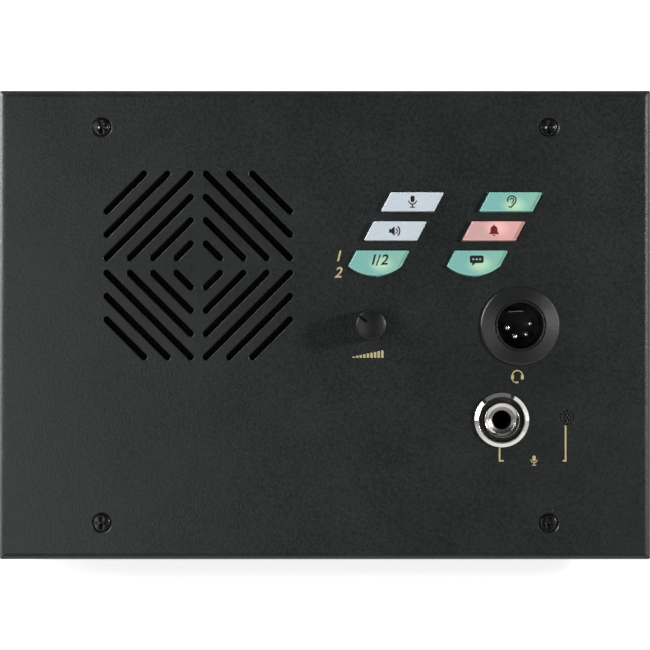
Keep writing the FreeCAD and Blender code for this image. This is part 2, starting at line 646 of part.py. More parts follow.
def case():
    """Welded sheet case: front, floor and rear folded in one run, closed by two sides."""
    body = new_body("case")
    front = f"(0 - {WALL_REACH})"

    def side_outline(name, skin, roof):
        """The case seen from the side; skin moves every wall inwards, roof lowers its top."""
        drawing = sketch(body, name, "YZ_Plane")
        run = f"({front} + {skin})"
        back = f"({WALL_REACH} - {skin})"
        floor = f"(foot_height + {skin})"
        top = f"(panel_wall + {roof})"
        turn_in = f"(knee_depth + {skin} * tan(tilt / 2))"
        drop = f"(({PANEL_Z} + {run} * sin(tilt) - {floor}) / cos(tilt))"

        def place(up, out):
            return (f"{PANEL_Y} + {up} * cos(tilt) + {out} * sin(tilt)",
                    f"{PANEL_Z} + {up} * sin(tilt) - {out} * cos(tilt)")

        rear = place(back, turn_in)
        corners = [place(run, drop), (rear[0], floor), rear, place(back, top), place(run, top)]
        return outline(drawing, corners)

    shell = pad(body, "wedge", side_outline("outside", "0", "0"), f"2 * {CASE_HALF}")
    shell.Midplane = True

    def folded(edge):
        """The bends at the floor and the knee, which run from side to side below the lips."""
        box = edge.BoundBox
        below = ((box.YMin - worth(PANEL_Y)) * worth("sin(tilt)")
                 - (box.ZMin - worth(PANEL_Z)) * worth("cos(tilt)"))
        return box.XLength > 1 and box.YLength < 1e-4 and below > worth("2 * panel_wall")

    soften(body, "bends", "bend_radius", folded)
    room = pocket(body, "room", side_outline("inside", "case_wall", "case_wall"),
                  f"2 * {CASE_HALF} - 2 * case_wall")
    room.Midplane = True

    def on_panel(name):
        """An empty sketch on the plane of the panel's face."""
        drawing = sketch(body, name, y=PANEL_Y, level=PANEL_Z)
        drawing.AttachmentOffset = FreeCAD.Placement(
            FreeCAD.Vector(), FreeCAD.Rotation(FreeCAD.Vector(1, 0, 0), 1))
        drawing.setExpression(".AttachmentOffset.Rotation.Angle", bound("tilt"))
        return drawing

    mouth = on_panel("mouth")
    oblong(mouth, f"2 * ({CASE_HALF} - side_lip_width)", f"2 * ({WALL_REACH} - lip_width)")
    pocket(body, "open_top", mouth, "panel_wall + 2 * case_wall")

    holes = on_panel("lip_holes")
    for x in (SCREW_X, f"0 - {SCREW_X}"):
        for y in (SCREW_Y, f"0 - {SCREW_Y}"):
            circle(holes, "(screw_shank + hole_play) / 2", x, y)
    pocket(body, "lip_screw_holes", holes, "panel_wall + 2 * case_wall")

    sockets = sketch(body, "socket_holes", "XZ_Plane", level=f"0 - {REAR_Y}")
    for across in ("line_in_across", "line_out_across"):
        circle(sockets, "line_barrel + line_hole_play", across, "line_up")
        for x, y in line_screw_places():
            circle(sockets, "(line_screw_shank + hole_play) / 2", f"{across} - {x}", f"line_up + {y}")
    latch_slot(sockets, "line_in_across", "line_up")
    pocket(body, "rear_openings", sockets, "2 * case_wall", upward=True)

    floor = sketch(body, "foot_holes", level="foot_height")
    for x, y in foot_places():
        circle(floor, "(foot_screw_shank + hole_play) / 2", x, y)
    pocket(body, "foot_screw_holes", floor, "2 * case_wall", upward=True)
    return body


def line_screw_places():
    """Two screws of a line socket, on its falling diagonal."""
    return [("line_screw_x", "line_screw_y"), ("(0 - line_screw_x)", "(0 - line_screw_y)")]


def latch_slot(drawing, x, y):
    """The slot that the release tab slides in."""
    half = "(latch_width / 2 + latch_play)"
    low = f"({y} + latch_up - latch_height / 2 - latch_play)"
    high = f"({y} + latch_up + latch_height / 2 + latch_play)"
    outline(drawing, [(f"{x} - {half}", low), (f"{x} + {half}", low),
                      (f"{x} + {half}", high), (f"{x} - {half}", high)])


def foot_places():
    front = f"(0 - {WALL_REACH})"
    drop = f"(({PANEL_Z} + {front} * sin(tilt) - foot_height) / cos(tilt))"
    front_edge = f"({PANEL_Y} + {front} * cos(tilt) + {drop} * sin(tilt))"
    rows = (f"({front_edge} + foot_front_in)", f"({REAR_Y} - foot_rear_in)")
    return [(x, y) for x in ("foot_across / 2", "0 - foot_across / 2") for y in rows]


def feet():
    """Four tapered rubber feet, each bored and recessed for its screw."""
    body = new_body("feet", several=True)
    base = sketch(body, "foot_outlines")
    for x, y in foot_places():
        circle(base, "foot_radius", x, y)
    rubber = pad(body, "feet_pad", base, "foot_height")
    rubber.setExpression("TaperAngle", bound("atan((foot_top_radius - foot_radius) / foot_height)"))
    recess = sketch(body, "foot_recesses")
    bore = sketch(body, "foot_bores")
    for x, y in foot_places():
        circle(recess, "foot_screw_head / 2 + hole_play", x, y)
        circle(bore, "(foot_screw_shank + hole_play) / 2", x, y)
    pocket(body, "feet_recessed", recess, "foot_recess", upward=True)
    pocket(body, "feet_bored", bore, upward=True)
    return body


def foot_screws():
    body = new_body("foot_screws", several=True)
    heads = sketch(body, "heads", level="foot_recess - foot_screw_head_depth")
    shanks = sketch(body, "shanks", level="foot_recess - foot_screw_head_depth")
    for x, y in foot_places():
        circle(heads, "foot_screw_head / 2", x, y)
        circle(shanks, "foot_screw_shank / 2", x, y)
    pad(body, "screw_heads", heads, "foot_screw_head_depth")
    pad(body, "screw_shanks", shanks,
        "foot_screw_head_depth + foot_height - foot_recess + case_wall + foot_nut_depth"
        " + foot_screw_end")
    return body


def hexagon(drawing, across_flats, x="0", y="0"):
    """A hexagon about a point, flats up and down."""
    radius = f"({across_flats}) / 2 / cos(30)"
    return outline(drawing, [(f"{x} + {radius} * cos({60 * n})", f"{y} + {radius} * sin({60 * n})")
                             for n in range(6)])


def foot_nuts():
    body = new_body("foot_nuts", several=True)
    drawing = sketch(body, "nut_outlines", level="foot_height + case_wall")
    for x, y in foot_places():
        hexagon(drawing, "foot_nut", x, y)
        circle(drawing, "foot_screw_shank / 2 + shaft_play", x, y)
    pad(body, "nuts", drawing, "foot_nut_depth")
    return body


def in_corners(spread):
    """The four corners of a square spread about the origin."""
    half = f"{spread} / 2"
    return [(x, y) for x in (half, f"0 - {half}") for y in (half, f"0 - {half}")]


# Loudspeaker, front to back from the back of the panel
CLOTH_BACK = "(panel_wall + cloth_thick)"
SPEAKER_SEAT = f"({CLOTH_BACK} + gasket_thick)"
BASKET_BACK = f"({SPEAKER_SEAT} + basket_depth)"
MAGNET_FRONT = f"({BASKET_BACK} + plate_depth)"
MAGNET_BACK = f"({MAGNET_FRONT} + magnet_depth)"


def on_speaker(body):
    lean(body, *SPEAKER)
    return body


def grille_cloth():
    return on_speaker(tube("grille_cloth", "0", "cloth_radius", BACK, "cloth_thick"))


def speaker_gasket():
    top = f"0 - {CLOTH_BACK}"
    return on_speaker(tube("speaker_gasket", GASKET_BORE, "cloth_radius", top, "gasket_thick"))


def speaker_frame():
    """Pressed steel basket: square flange, conical wall with four windows, flat back."""
    frame = on_speaker(new_body("speaker_frame"))
    front = f"0 - {SPEAKER_SEAT}"
    flange = oblong(sketch(frame, "flange", level=front), FRAME_SIDE, FRAME_SIDE)
    pad(frame, "flange_sheet", flange, "basket_wall", down=True)
    soften(frame, "flange_corners", "basket_corner", upright)
    pocket(frame, "mouth_cut", circle(sketch(frame, "mouth", level=front), MOUTH))
    bowl = sketch(frame, "bowl", "XZ_Plane")
    outline(bowl, [
        ("basket_hole", f"0 - {BASKET_BACK}"),
        ("basket_back", f"0 - {BASKET_BACK}"),
        (f"{MOUTH} + basket_wall", f"{front} - basket_wall"),
        (f"{MOUTH} + basket_wall", front),
        (MOUTH, front),
        (MOUTH, f"{front} - basket_wall"),
        ("basket_back - basket_wall", f"0 - {BASKET_BACK} + basket_wall"),
        ("basket_hole", f"0 - {BASKET_BACK} + basket_wall"),
    ])
    turn(frame, "basket", bowl)
    window = sketch(frame, "window", "XZ_Plane", level="0 - basket_hole - 1")
    low = f"0 - {BASKET_BACK} + basket_rim"
    high = f"{front} - basket_wall - basket_rim"
    outline(window, [("0 - basket_back / 2", low), ("basket_back / 2", low),
                     (f"{MOUTH} / 2.4", high), (f"0 - {MOUTH} / 2.4", high)])
    opening = pocket(frame, "basket_window", window, FRAME_SIDE)
    spin(frame, "basket_windows", [opening], sketch(frame, "middle"), 4)
    holes = sketch(frame, "stud_holes", level=front)
    for x, y in in_corners(STUDS):
        circle(holes, "(stud_width + hole_play) / 2", x, y)
    pocket(frame, "stud_clearance", holes, "2 * basket_wall")
    return frame


def speaker_cone():
    """Paper cone and its folded surround, whose lip is glued on the front of the flange."""
    front = f"0 - {SPEAKER_SEAT}"
    roll_out = f"({MOUTH} - coil_gap)"
    roll_in = f"({roll_out} - surround_width)"
    folds = (f"({roll_in} + surround_width / 4)", f"({roll_out} - surround_width / 4)")
    return on_speaker(turned("speaker_cone", [
        ("cone_neck", f"{front} - cone_drop - cone_paper"),
        (roll_in, front),
        (folds[0], f"{front} - surround_drop"),
        (folds[1], f"{front} - surround_drop"),
        (roll_out, front),
        (CONE_LIP, front),
        (CONE_LIP, f"{front} + cone_paper"),
        (roll_out, f"{front} + cone_paper"),
        (folds[1], f"{front} + cone_paper - surround_drop"),
        (folds[0], f"{front} + cone_paper - surround_drop"),
        (roll_in, f"{front} + cone_paper"),
        ("cone_neck", f"{front} - cone_drop"),
    ]))


def dust_cap():
    """Paper dome that closes the neck of the cone."""
    flare = f"({MOUTH} - coil_gap - surround_width - cone_neck)"
    base = (f"0 - {SPEAKER_SEAT} - cone_drop + glue_gap"
            f" + (dust_cap_radius - cone_neck) * (cone_drop + cone_paper) / {flare}")
    under = [
        ("0", f"{base} + dust_cap_rise"),
        ("dust_cap_flat", f"{base} + dust_cap_rise"),
        ("(dust_cap_flat + dust_cap_radius) / 2", f"{base} + dust_cap_rise * dust_cap_shoulder"),
        ("dust_cap_radius", base),
    ]
    over = [(radius, f"{level} + cone_paper") for radius, level in reversed(under)]
    return on_speaker(turned("dust_cap", under + over))


def voice_coil():
    """Coil on its former, from the neck of the cone into the magnet's gap."""
    top = f"0 - {SPEAKER_SEAT} - cone_drop"
    length = f"({MAGNET_FRONT} + coil_overhang - {SPEAKER_SEAT} - cone_drop)"
    return on_speaker(tube("voice_coil", "cone_neck - glue_gap - coil_wall",
                           "cone_neck - glue_gap", top, length))


def front_plate():
    return on_speaker(tube("front_plate", "cone_neck + coil_gap", "plate_radius",
                           f"0 - {BASKET_BACK}", "plate_depth"))


def speaker_magnet():
    return on_speaker(tube("speaker_magnet", "magnet_bore", "magnet_radius",
                           f"0 - {MAGNET_FRONT}", "magnet_depth"))


def pole_piece():
    """Steel back plate and the pole that stands inside the voice coil."""
    pole = "(cone_neck - glue_gap - coil_wall - coil_gap)"
    return on_speaker(turned("pole_piece", [
        ("0", f"0 - {MAGNET_BACK} - plate_depth"),
        ("plate_radius", f"0 - {MAGNET_BACK} - plate_depth"),
        ("plate_radius", f"0 - {MAGNET_BACK}"),
        (pole, f"0 - {MAGNET_BACK}"),
        (pole, f"0 - {BASKET_BACK}"),
        ("0", f"0 - {BASKET_BACK}"),
    ]))


def speaker_nuts():
    body = on_speaker(new_body("speaker_nuts", several=True))
    drawing = sketch(body, "nut_outlines", level=f"0 - {SPEAKER_SEAT} - basket_wall")
    for x, y in in_corners(STUDS):
        hexagon(drawing, "speaker_nut", x, y)
        circle(drawing, "stud_width / 2 + shaft_play", x, y)
    pad(body, "nuts", drawing, "speaker_nut_depth", down=True)
    return body


def key(name, column, row, rounded):
    """Hollow moulded cap with a rim that keeps it in its window and a stem to its switch."""
    body = new_body(name)
    lean(body, *key_place(column, row))
    stand = "low_key_stand" if rounded else "key_stand"
    cap = outline(sketch(body, "cap_outline", level="0 - key_skirt"), *key_corners("0", rounded))
    pad(body, "cap", cap, f"key_skirt + {stand}")
    soften(body, "cap_edge", "key_edge", lambda edge: at_level(edge, worth(stand)), "Chamfer",
           "Size")
    rim_top = "(0 - panel_wall - key_flange_play)"
    rim = outline(sketch(body, "rim_outline", level=rim_top), *key_corners("key_flange", rounded))
    pad(body, "rim", rim, "key_flange", down=True)
    inside = sketch(body, "inside_outline", level="0 - key_skirt")
    outline(inside, *key_corners("0 - key_wall", rounded))
    pocket(body, "hollow", inside, f"key_skirt + {stand} - key_wall", upward=True)
    stem = circle(sketch(body, "stem_outline", level="0 - stem_reach"), "stem_radius",
                  "0 - stem_shift")
    pad(body, "stem", stem, f"stem_reach + {stand} - key_wall / 2")
    return body


def switch(name, column, row):
    """Square key switch on the board with a round well for the key's stem."""
    body = new_body(name)
    lean(body, *key_place(column, row))
    housing = sketch(body, "housing_outline", x="0 - stem_shift", level=BOARD_FACE)
    pad(body, "housing", oblong(housing, "switch_side", "switch_side"), "switch_depth")
    soften(body, "housing_bevel", "key_wall / 2", upright, "Chamfer", "Size")
    well = sketch(body, "well_outline", x="0 - stem_shift", level=f"{BOARD_FACE} + switch_depth")
    pocket(body, "well", circle(well, "well_radius"), "well_depth")
    return body


def key_lamps():
    """Six round lamps, one behind each key."""
    body = new_body("key_lamps", several=True)
    lean(body)
    base = f"{BOARD_FACE} + spacer_height"
    rims = sketch(body, "rims", level=base)
    domes = sketch(body, "domes", level=base)
    for name, column, row, rounded in KEYS:
        across, up = key_place(column, row)
        circle(rims, "lamp_rim", f"{across} + lamp_shift", up)
        circle(domes, "lamp_radius", f"{across} + lamp_shift", up)
    pad(body, "lamp_rims", rims, "key_flange")
    pad(body, "lamp_domes", domes, "lamp_height")
    top = worth(f"{base} + lamp_height")
    soften(body, "lamp_tops", "lamp_radius / 2", lambda edge: at_level(edge, top), "Chamfer", "Size")
    return body


def lamp_spacers():
    body = new_body("lamp_spacers", several=True)
    lean(body)
    drawing = sketch(body, "spacer_outlines", level=BOARD_FACE)
    for name, column, row, rounded in KEYS:
        across, up = key_place(column, row)
        circle(drawing, "spacer_radius", f"{across} + lamp_shift", up)
    pad(body, "spacers", drawing, "spacer_height")
    return body


def standoff_places():
    top, step, bottom = (board_edge(side) for side in ("top", "step", "bottom"))
    return [
        ("(board_left + standoff_edge)", f"({top} - standoff_edge)"),
        ("(board_right - standoff_edge)", f"({top} - standoff_edge)"),
        ("(board_right - standoff_edge)", f"({step} + standoff_edge)"),
        ("(board_left + standoff_edge)", f"({bottom} + standoff_edge)"),
        ("(board_leg_right - standoff_edge)", f"({bottom} + standoff_edge)"),
    ]


def circuit_board():
    """L-shaped board behind the keys and the volume control."""
    body = new_body("circuit_board")
    lean(body)
    drawing = sketch(body, "board_outline", level=BOARD_FACE)
    top, step, bottom = (board_edge(side) for side in ("top", "step", "bottom"))
    outline(drawing, [("board_left", bottom), ("board_leg_right", bottom), ("board_leg_right", step),
                      ("board_right", step), ("board_right", top), ("board_left", top)])
    for x, y in standoff_places():
        circle(drawing, "(board_screw_shank + hole_play) / 2", x, y)
    pad(body, "board", drawing, "board_thick", down=True)
    return body


def board_standoffs():
    body = new_body("board_standoffs", several=True)
    lean(body)
    drawing = sketch(body, "standoff_outlines", level=BACK)
    for x, y in standoff_places():
        circle(drawing, "standoff_radius", x, y)
        circle(drawing, "standoff_bore / 2", x, y)
    pad(body, "standoffs", drawing, "board_gap", down=True)
    return body


def board_screws():
    body = new_body("board_screws", several=True)
    lean(body)
    under = f"{BOARD_FACE} - board_thick"
    heads = sketch(body, "heads", level=under)
    shanks = sketch(body, "shanks", level=f"{under} - board_screw_head_depth / 2")
    for x, y in standoff_places():
        circle(heads, "board_screw_head / 2", x, y)
        circle(shanks, "board_screw_shank / 2", x, y)
    pad(body, "screw_heads", heads, "board_screw_head_depth", down=True)
    pad(body, "screw_shanks", shanks, "board_screw_length + board_screw_head_depth / 2")
    return body


def on_volume(body):
    lean(body, *set_out("volume"))
    return body


def volume_control():
    """Housing of the rotary control on the board, with the bush that guides its shaft."""
    body = on_volume(new_body("volume_control"))
    housing = oblong(sketch(body, "housing_outline", level=BOARD_FACE), "pot_side", "pot_side")
    pad(body, "housing", housing, "pot_depth")
    soften(body, "housing_corners", "key_wall", upright, "Chamfer", "Size")
    bush = circle(sketch(body, "bush_outline", level=BOARD_FACE), "bush_radius")
    pad(body, "bush", bush, "board_gap - bush_gap")
    bore = sketch(body, "bore_outline", level="0 - shaft_bottom - hole_play")
    pocket(body, "bore", circle(bore, "shaft_radius + shaft_play"), "panel_wall + board_gap",
           upward=True)
    return body


def volume_shaft():
    body = on_volume(new_body("volume_shaft"))
    drawing = circle(sketch(body, "shaft_outline", level="0 - shaft_bottom"), "shaft_radius")
    pad(body, "shaft", drawing, "shaft_bottom + shaft_top")
    return body


def volume_knob():
    """Turned knob with a domed top, a blind bore for the shaft and a pointer notch."""
    top = "(knob_lift + knob_height)"
    bore = "(shaft_radius + shaft_play)"
    dome = "((knob_top_radius * knob_top_radius + knob_crown * knob_crown) / (2 * knob_crown))"
    body = on_volume(turned("volume_knob", [
        (bore, "knob_lift"),
        ("knob_radius", "knob_lift"),
        ("knob_top_radius", f"{top} - knob_crown"),
        ("0", top),
        ("0", "shaft_top + hole_play"),
        (bore, "shaft_top + hole_play"),
    ], {2: dome}))
    shoulder = worth(f"{top} - knob_crown")
    soften(body, "knob_shoulder", "knob_edge", lambda edge: at_level(edge, shoulder))
    notch = sketch(body, "pointer_outline", level=top)
    turned_box(notch, "pointer_start", "pointer_end", "0 - pointer_width / 2", "pointer_width / 2",
               "pointer_angle")
    pocket(body, "pointer", notch, "pointer_depth + knob_crown")
    return body


def on_headset(body):
    lean(body, *set_out("headset"))
    return body


def swing(radius, angle):
    """A place on a circle, at an angle turned with the headset socket."""
    return f"{radius} * cos({angle} + headset_turn)", f"{radius} * sin({angle} + headset_turn)"


def turned_box(drawing, left, right, low, high, turn_rule):
    """A rectangle turned about the sketch's origin."""
    corners = [(left, low), (right, low), (right, high), (left, high)]
    return outline(drawing, [
        (f"({x}) * cos({turn_rule}) - ({y}) * sin({turn_rule})",
         f"({x}) * sin({turn_rule}) + ({y}) * cos({turn_rule})") for x, y in corners])


def headset_shell():
    """Round coned flange with a bevelled edge and a raised lip, and the barrel behind it."""
    face = "headset_flange_thick"
    body = on_headset(turned("headset_shell", [
        ("headset_bore", "0 - headset_depth"),
        ("headset_barrel", "0 - headset_depth"),
        ("headset_barrel", "0"),
        ("headset_flange_radius", "0"),
        ("headset_flange_radius", f"{face} - headset_fall - headset_bevel"),
        ("headset_flange_radius - headset_bevel", f"{face} - headset_fall"),
        ("headset_lip_radius", face),
        ("headset_lip_radius - headset_lip_rise", f"{face} + headset_lip_rise"),
        ("headset_bore", f"{face} + headset_lip_rise"),
    ]))
    keyway = sketch(body, "keyway_outline", level=f"{face} + headset_lip_rise")
    turned_box(keyway, "0 - keyway_width / 2", "keyway_width / 2", "headset_bore - keyway_rise",
               "headset_bore + keyway_rise", "headset_turn")
    pocket(body, "keyway", keyway, "keyway_depth")
    return body


def headset_pin_places():
    """Four pins a sixth of a turn apart, turned with the socket."""
    return [swing("pin_circle", f"(pin_angle + {60 * place})") for place in range(4)]


def headset_carrier():
    """Moulded carrier, bored for the four pins."""
    body = on_headset(tube("headset_carrier", "0", "headset_bore - carrier_play",
                           "0 - headset_floor", "carrier_thick"))
    bores = sketch(body, "pin_bores", level="0 - headset_floor")
    for x, y in headset_pin_places():
        circle(bores, "pin_radius + carrier_play", x, y)
    pocket(body, "bored", bores)
    return body


def headset_pins():
    """Four pins through the carrier, tapered at the tip."""
    body = on_headset(new_body("headset_pins", several=True))
    drawing = sketch(body, "pin_outlines", level="0 - pin_tip")
    for x, y in headset_pin_places():
        circle(drawing, "pin_radius", x, y)
    pad(body, "pins", drawing, "headset_floor + carrier_thick + pin_tail - pin_tip", down=True)
    top = worth("0 - pin_tip")
    soften(body, "pin_tips", "pin_radius / 2", lambda edge: at_level(edge, top), "Chamfer", "Size")
    return body


def headset_ground_tab():
    """Sprung metal tab that stands on the carrier under the key slot."""
    body = on_headset(new_body("headset_ground_tab"))
    drawing = sketch(body, "tab_outline", level="0 - headset_floor")
    turned_box(drawing, "0 - tab_width / 2", "tab_width / 2", "tab_up", "tab_up + tab_thick",
               "headset_turn")
    pad(body, "tab", drawing, "tab_length")
    return body


def headset_ring_nut():
    return on_headset(tube("headset_ring_nut", "headset_barrel + shaft_play", "ring_nut_radius",
                           BACK, "ring_nut_depth"))


def on_jack(body):
    lean(body, *set_out("jack"))
    return body


def jack_collar():
    """Chrome collar, threaded inside for the gooseneck's sleeve, through the panel."""
    return on_jack(turned("jack_collar", [
        ("collar_bore", "0 - collar_depth"),
        ("collar_barrel", "0 - collar_depth"),
        ("collar_barrel", "0"),
        ("collar_radius", "0"),
        ("collar_radius", "collar_rise - collar_fall"),
        ("collar_bore + collar_edge", "collar_rise"),
        ("collar_bore", "collar_rise - collar_edge"),
    ]))


def jack_nose():
    """Chrome nose in the middle of the collar, flared at its mouth, with a base that fills it."""
    base = "collar_bore - carrier_play"
    return on_jack(turned("jack_nose", [
        ("jack_bore", "0 - collar_depth"),
        (base, "0 - collar_depth"),
        (base, "0 - thread_depth"),
        ("nose_radius", "0 - thread_depth"),
        ("nose_radius", "nose_rise - nose_bevel"),
        ("nose_radius - nose_bevel", "nose_rise"),
        ("nose_mouth", "nose_rise"),
        ("jack_bore", "nose_rise + jack_bore - nose_mouth"),
    ]))


def jack_body():
    """Moulded body behind the nose, closed at the end of the plug bore."""
    return on_jack(turned("jack_body", [
        ("0", "0 - jack_depth - jack_end"),
        ("jack_body_radius", "0 - jack_depth - jack_end"),
        ("jack_body_radius", "0 - collar_depth"),
        ("jack_bore", "0 - collar_depth"),
        ("jack_bore", "0 - jack_depth"),
        ("0", "0 - jack_depth"),
    ]))


def jack_nut():
    body = on_jack(new_body("jack_nut"))
    drawing = sketch(body, "nut_outline", level=BACK)
    hexagon(drawing, "2 * collar_nut_radius * cos(30)")
    circle(drawing, "collar_barrel + shaft_play")
    pad(body, "nut", drawing, "collar_nut_depth", down=True)
    return body


def on_mic(body):
    lean(body, *set_out("mic"))
    return body


def mic_boot():
    """Rubber boot pressed on the back of the panel round the sound holes."""
    return on_mic(tube("mic_boot", "capsule_radius + carrier_play", "boot_radius", BACK, "boot_depth"))


def mic_capsule():
    return on_mic(tube("mic_capsule", "0", "capsule_radius", f"{BACK} - capsule_gap",
                       "capsule_depth"))


def line_shell(name, across, bore, depth):
    """Square flanged socket shell: flange on the wall, barrel through it, a mouth bored in."""
    body = new_body(name)
    face_rear(body, across)
    flange = oblong(sketch(body, "flange_outline"), "line_width", "line_height")
    pad(body, "flange", flange, "line_flange")
    soften(body, "flange_corners", "line_corner", upright)
    pad(body, "barrel", circle(sketch(body, "barrel_outline"), "line_barrel"), "line_depth", down=True)
    mouth = circle(sketch(body, "mouth_outline", level="line_flange"), bore)
    pocket(body, "mouth", mouth, depth)
    holes = sketch(body, "screw_outlines", level="line_flange")
    for x, y in line_screw_places():
        circle(holes, "(line_screw_shank + hole_play) / 2", x, y)
    pocket(body, "screw_holes", holes, "2 * line_flange")
    return body


def line_in_shell():
    body = line_shell("line_in_shell", "line_in_across", "in_ring", "in_floor")
    core = circle(sketch(body, "core_outline", level="line_flange"), "in_core + carrier_play")
    pocket(body, "core_bore", core)
    slot = sketch(body, "latch_outline", level="line_flange")
    latch_slot(slot, "0", "0")
    pocket(body, "latch_slot_cut", slot, "2 * line_flange")
    return body


def three_places(radius):
    """Three contacts on a circle, a right angle apart."""
    return [(f"{radius} * cos({angle})", f"{radius} * sin({angle})") for angle in (180, 270, 360)]


def line_in_core():
    """Moulded core of the line input, with three contact holes."""
    body = new_body("line_in_core")
    face_rear(body, "line_in_across")
    drawing = sketch(body, "core_outline", level="line_flange - carrier_play")
    circle(drawing, "in_core")
    pad(body, "core", drawing, "line_flange + line_depth", down=True)
    holes = sketch(body, "contact_outlines", level="line_flange - carrier_play")
    for x, y in three_places("line_pin_circle"):
        circle(holes, "line_pin_radius + contact_play", x, y)
    pocket(body, "contact_holes", holes, "in_floor")
    return body


def line_in_latch():
    """Release tab that slides in its slot, with a shoulder behind the case wall."""
    body = new_body("line_in_latch")
    face_rear(body, "line_in_across")
    tab = sketch(body, "tab_outline", y="latch_up", level="line_flange + latch_stand")
    pad(body, "tab", oblong(tab, "latch_width", "latch_height"),
        "line_flange + latch_stand + latch_reach", down=True)
    shoulder = sketch(body, "shoulder_outline", y="latch_up", level="0 - case_wall - latch_play")
    pad(body, "shoulder", oblong(shoulder, "latch_width + 2 * latch_rim", "latch_height"),
        "latch_rim", down=True)
    return body


def line_out_shell():
    return line_shell("line_out_shell", "line_out_across", "out_bore", "line_flange + line_depth")


def line_out_carrier():
    body = tube("line_out_carrier", "0", "out_bore - carrier_play", "line_flange - out_floor",
                "carrier_thick")
    face_rear(body, "line_out_across")
    bores = sketch(body, "pin_bores", level="line_flange - out_floor")
    for x, y in three_places("line_pin_circle"):
        circle(bores, "line_pin_radius + carrier_play", x, y)
    pocket(body, "bored", bores)
    return body


def line_out_pins():
    body = new_body("line_out_pins", several=True)
    face_rear(body, "line_out_across")
    drawing = sketch(body, "pin_outlines", level="line_flange - line_pin_tip")
    for x, y in three_places("line_pin_circle"):
        circle(drawing, "line_pin_radius", x, y)
    pad(body, "pins", drawing, "out_floor + carrier_thick + pin_tail - line_pin_tip", down=True)
    top = worth("line_flange - line_pin_tip")
    soften(body, "pin_tips", "line_pin_radius / 2", lambda edge: at_level(edge, top), "Chamfer",
           "Size")
    return body


def line_screws():
    """Two pan head screws for each line socket."""
    body = new_body("line_screws", several=True)
    face_rear(body, "0")
    heads = sketch(body, "heads", level="line_flange")
    shanks = sketch(body, "shanks", level="line_flange + line_screw_head_depth / 2")
    for across in ("line_in_across", "line_out_across"):
        for x, y in line_screw_places():
            circle(heads, "line_screw_head / 2", f"{x} - {across}", y)
            circle(shanks, "line_screw_shank / 2", f"{x} - {across}", y)
    pad(body, "screw_heads", heads, "line_screw_head_depth")
    pad(body, "screw_shanks", shanks, "line_screw_length + line_screw_head_depth / 2", down=True)
    return body


front_panel()
panel_screws()
panel_nuts()
case()
feet()
foot_screws()
foot_nuts()
grille_cloth()
speaker_gasket()
speaker_frame()
speaker_cone()
dust_cap()
voice_coil()
front_plate()
speaker_magnet()
pole_piece()
speaker_nuts()
for key_name, key_column, key_line, key_rounded in KEYS:
    key(key_name, key_column, key_line, key_rounded)
    switch(key_name.replace("key", "switch"), key_column, key_line)
key_lamps()
lamp_spacers()
circuit_board()
board_standoffs()
board_screws()
volume_control()
volume_shaft()
volume_knob()
headset_shell()
headset_carrier()
headset_pins()
headset_ground_tab()
headset_ring_nut()
jack_collar()
jack_nose()
jack_body()
jack_nut()
mic_boot()
mic_capsule()
line_in_shell()
line_in_core()
line_in_latch()
line_out_shell()
line_out_carrier()
line_out_pins()
line_screws()

doc.recompute()
faults = [item.Label for item in doc.Objects if {"Invalid", "Error"} & set(item.State)]
bodies = [item for item in doc.Objects if item.TypeId == "PartDesign::Body"]
faults += [body.Label for body in bodies if body.Shape.isNull() or not body.Shape.isValid()]
if faults:
    raise RuntimeError(f"these did not build: {sorted(set(faults))}")
os.makedirs("parts", exist_ok=True)
for body in bodies:
    body.Shape.exportStep(f"parts/{body.Label}.step")
print(len(bodies), "sub-parts,", sum(len(body.Shape.Solids) for body in bodies), "solids")
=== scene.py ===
import math

import bmesh
import bpy
from mathutils import Matrix, Vector


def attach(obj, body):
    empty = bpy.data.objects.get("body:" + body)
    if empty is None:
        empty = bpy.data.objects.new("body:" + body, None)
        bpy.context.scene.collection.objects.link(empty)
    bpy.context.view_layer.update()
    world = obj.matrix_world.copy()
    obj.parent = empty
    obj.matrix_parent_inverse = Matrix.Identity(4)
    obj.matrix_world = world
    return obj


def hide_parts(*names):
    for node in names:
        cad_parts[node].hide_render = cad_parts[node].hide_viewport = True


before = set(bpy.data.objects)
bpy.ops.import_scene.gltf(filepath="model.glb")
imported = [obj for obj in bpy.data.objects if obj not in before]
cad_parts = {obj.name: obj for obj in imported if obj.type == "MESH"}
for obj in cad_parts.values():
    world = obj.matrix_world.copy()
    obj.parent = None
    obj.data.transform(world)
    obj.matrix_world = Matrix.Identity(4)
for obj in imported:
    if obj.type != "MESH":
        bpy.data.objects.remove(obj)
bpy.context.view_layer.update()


# The table top that the station stands on, and the light of a plain studio.
# Floor and walls are pale. A small hard lamp stands far off on the right, and dimmer ones stand
# low round the panel and over it, for its folded edges, its keys and its chrome.
def maths(operation, swapped=False):
    """An operator of a wire: a Math node on the wire and another value, or on the two swapped."""
    def apply(wire, other=0.0):
        values = (other, wire) if swapped else (wire, other)
        return node(wire.tree, "ShaderNodeMath", {"operation": operation},
                    dict(enumerate(values)))
    return apply


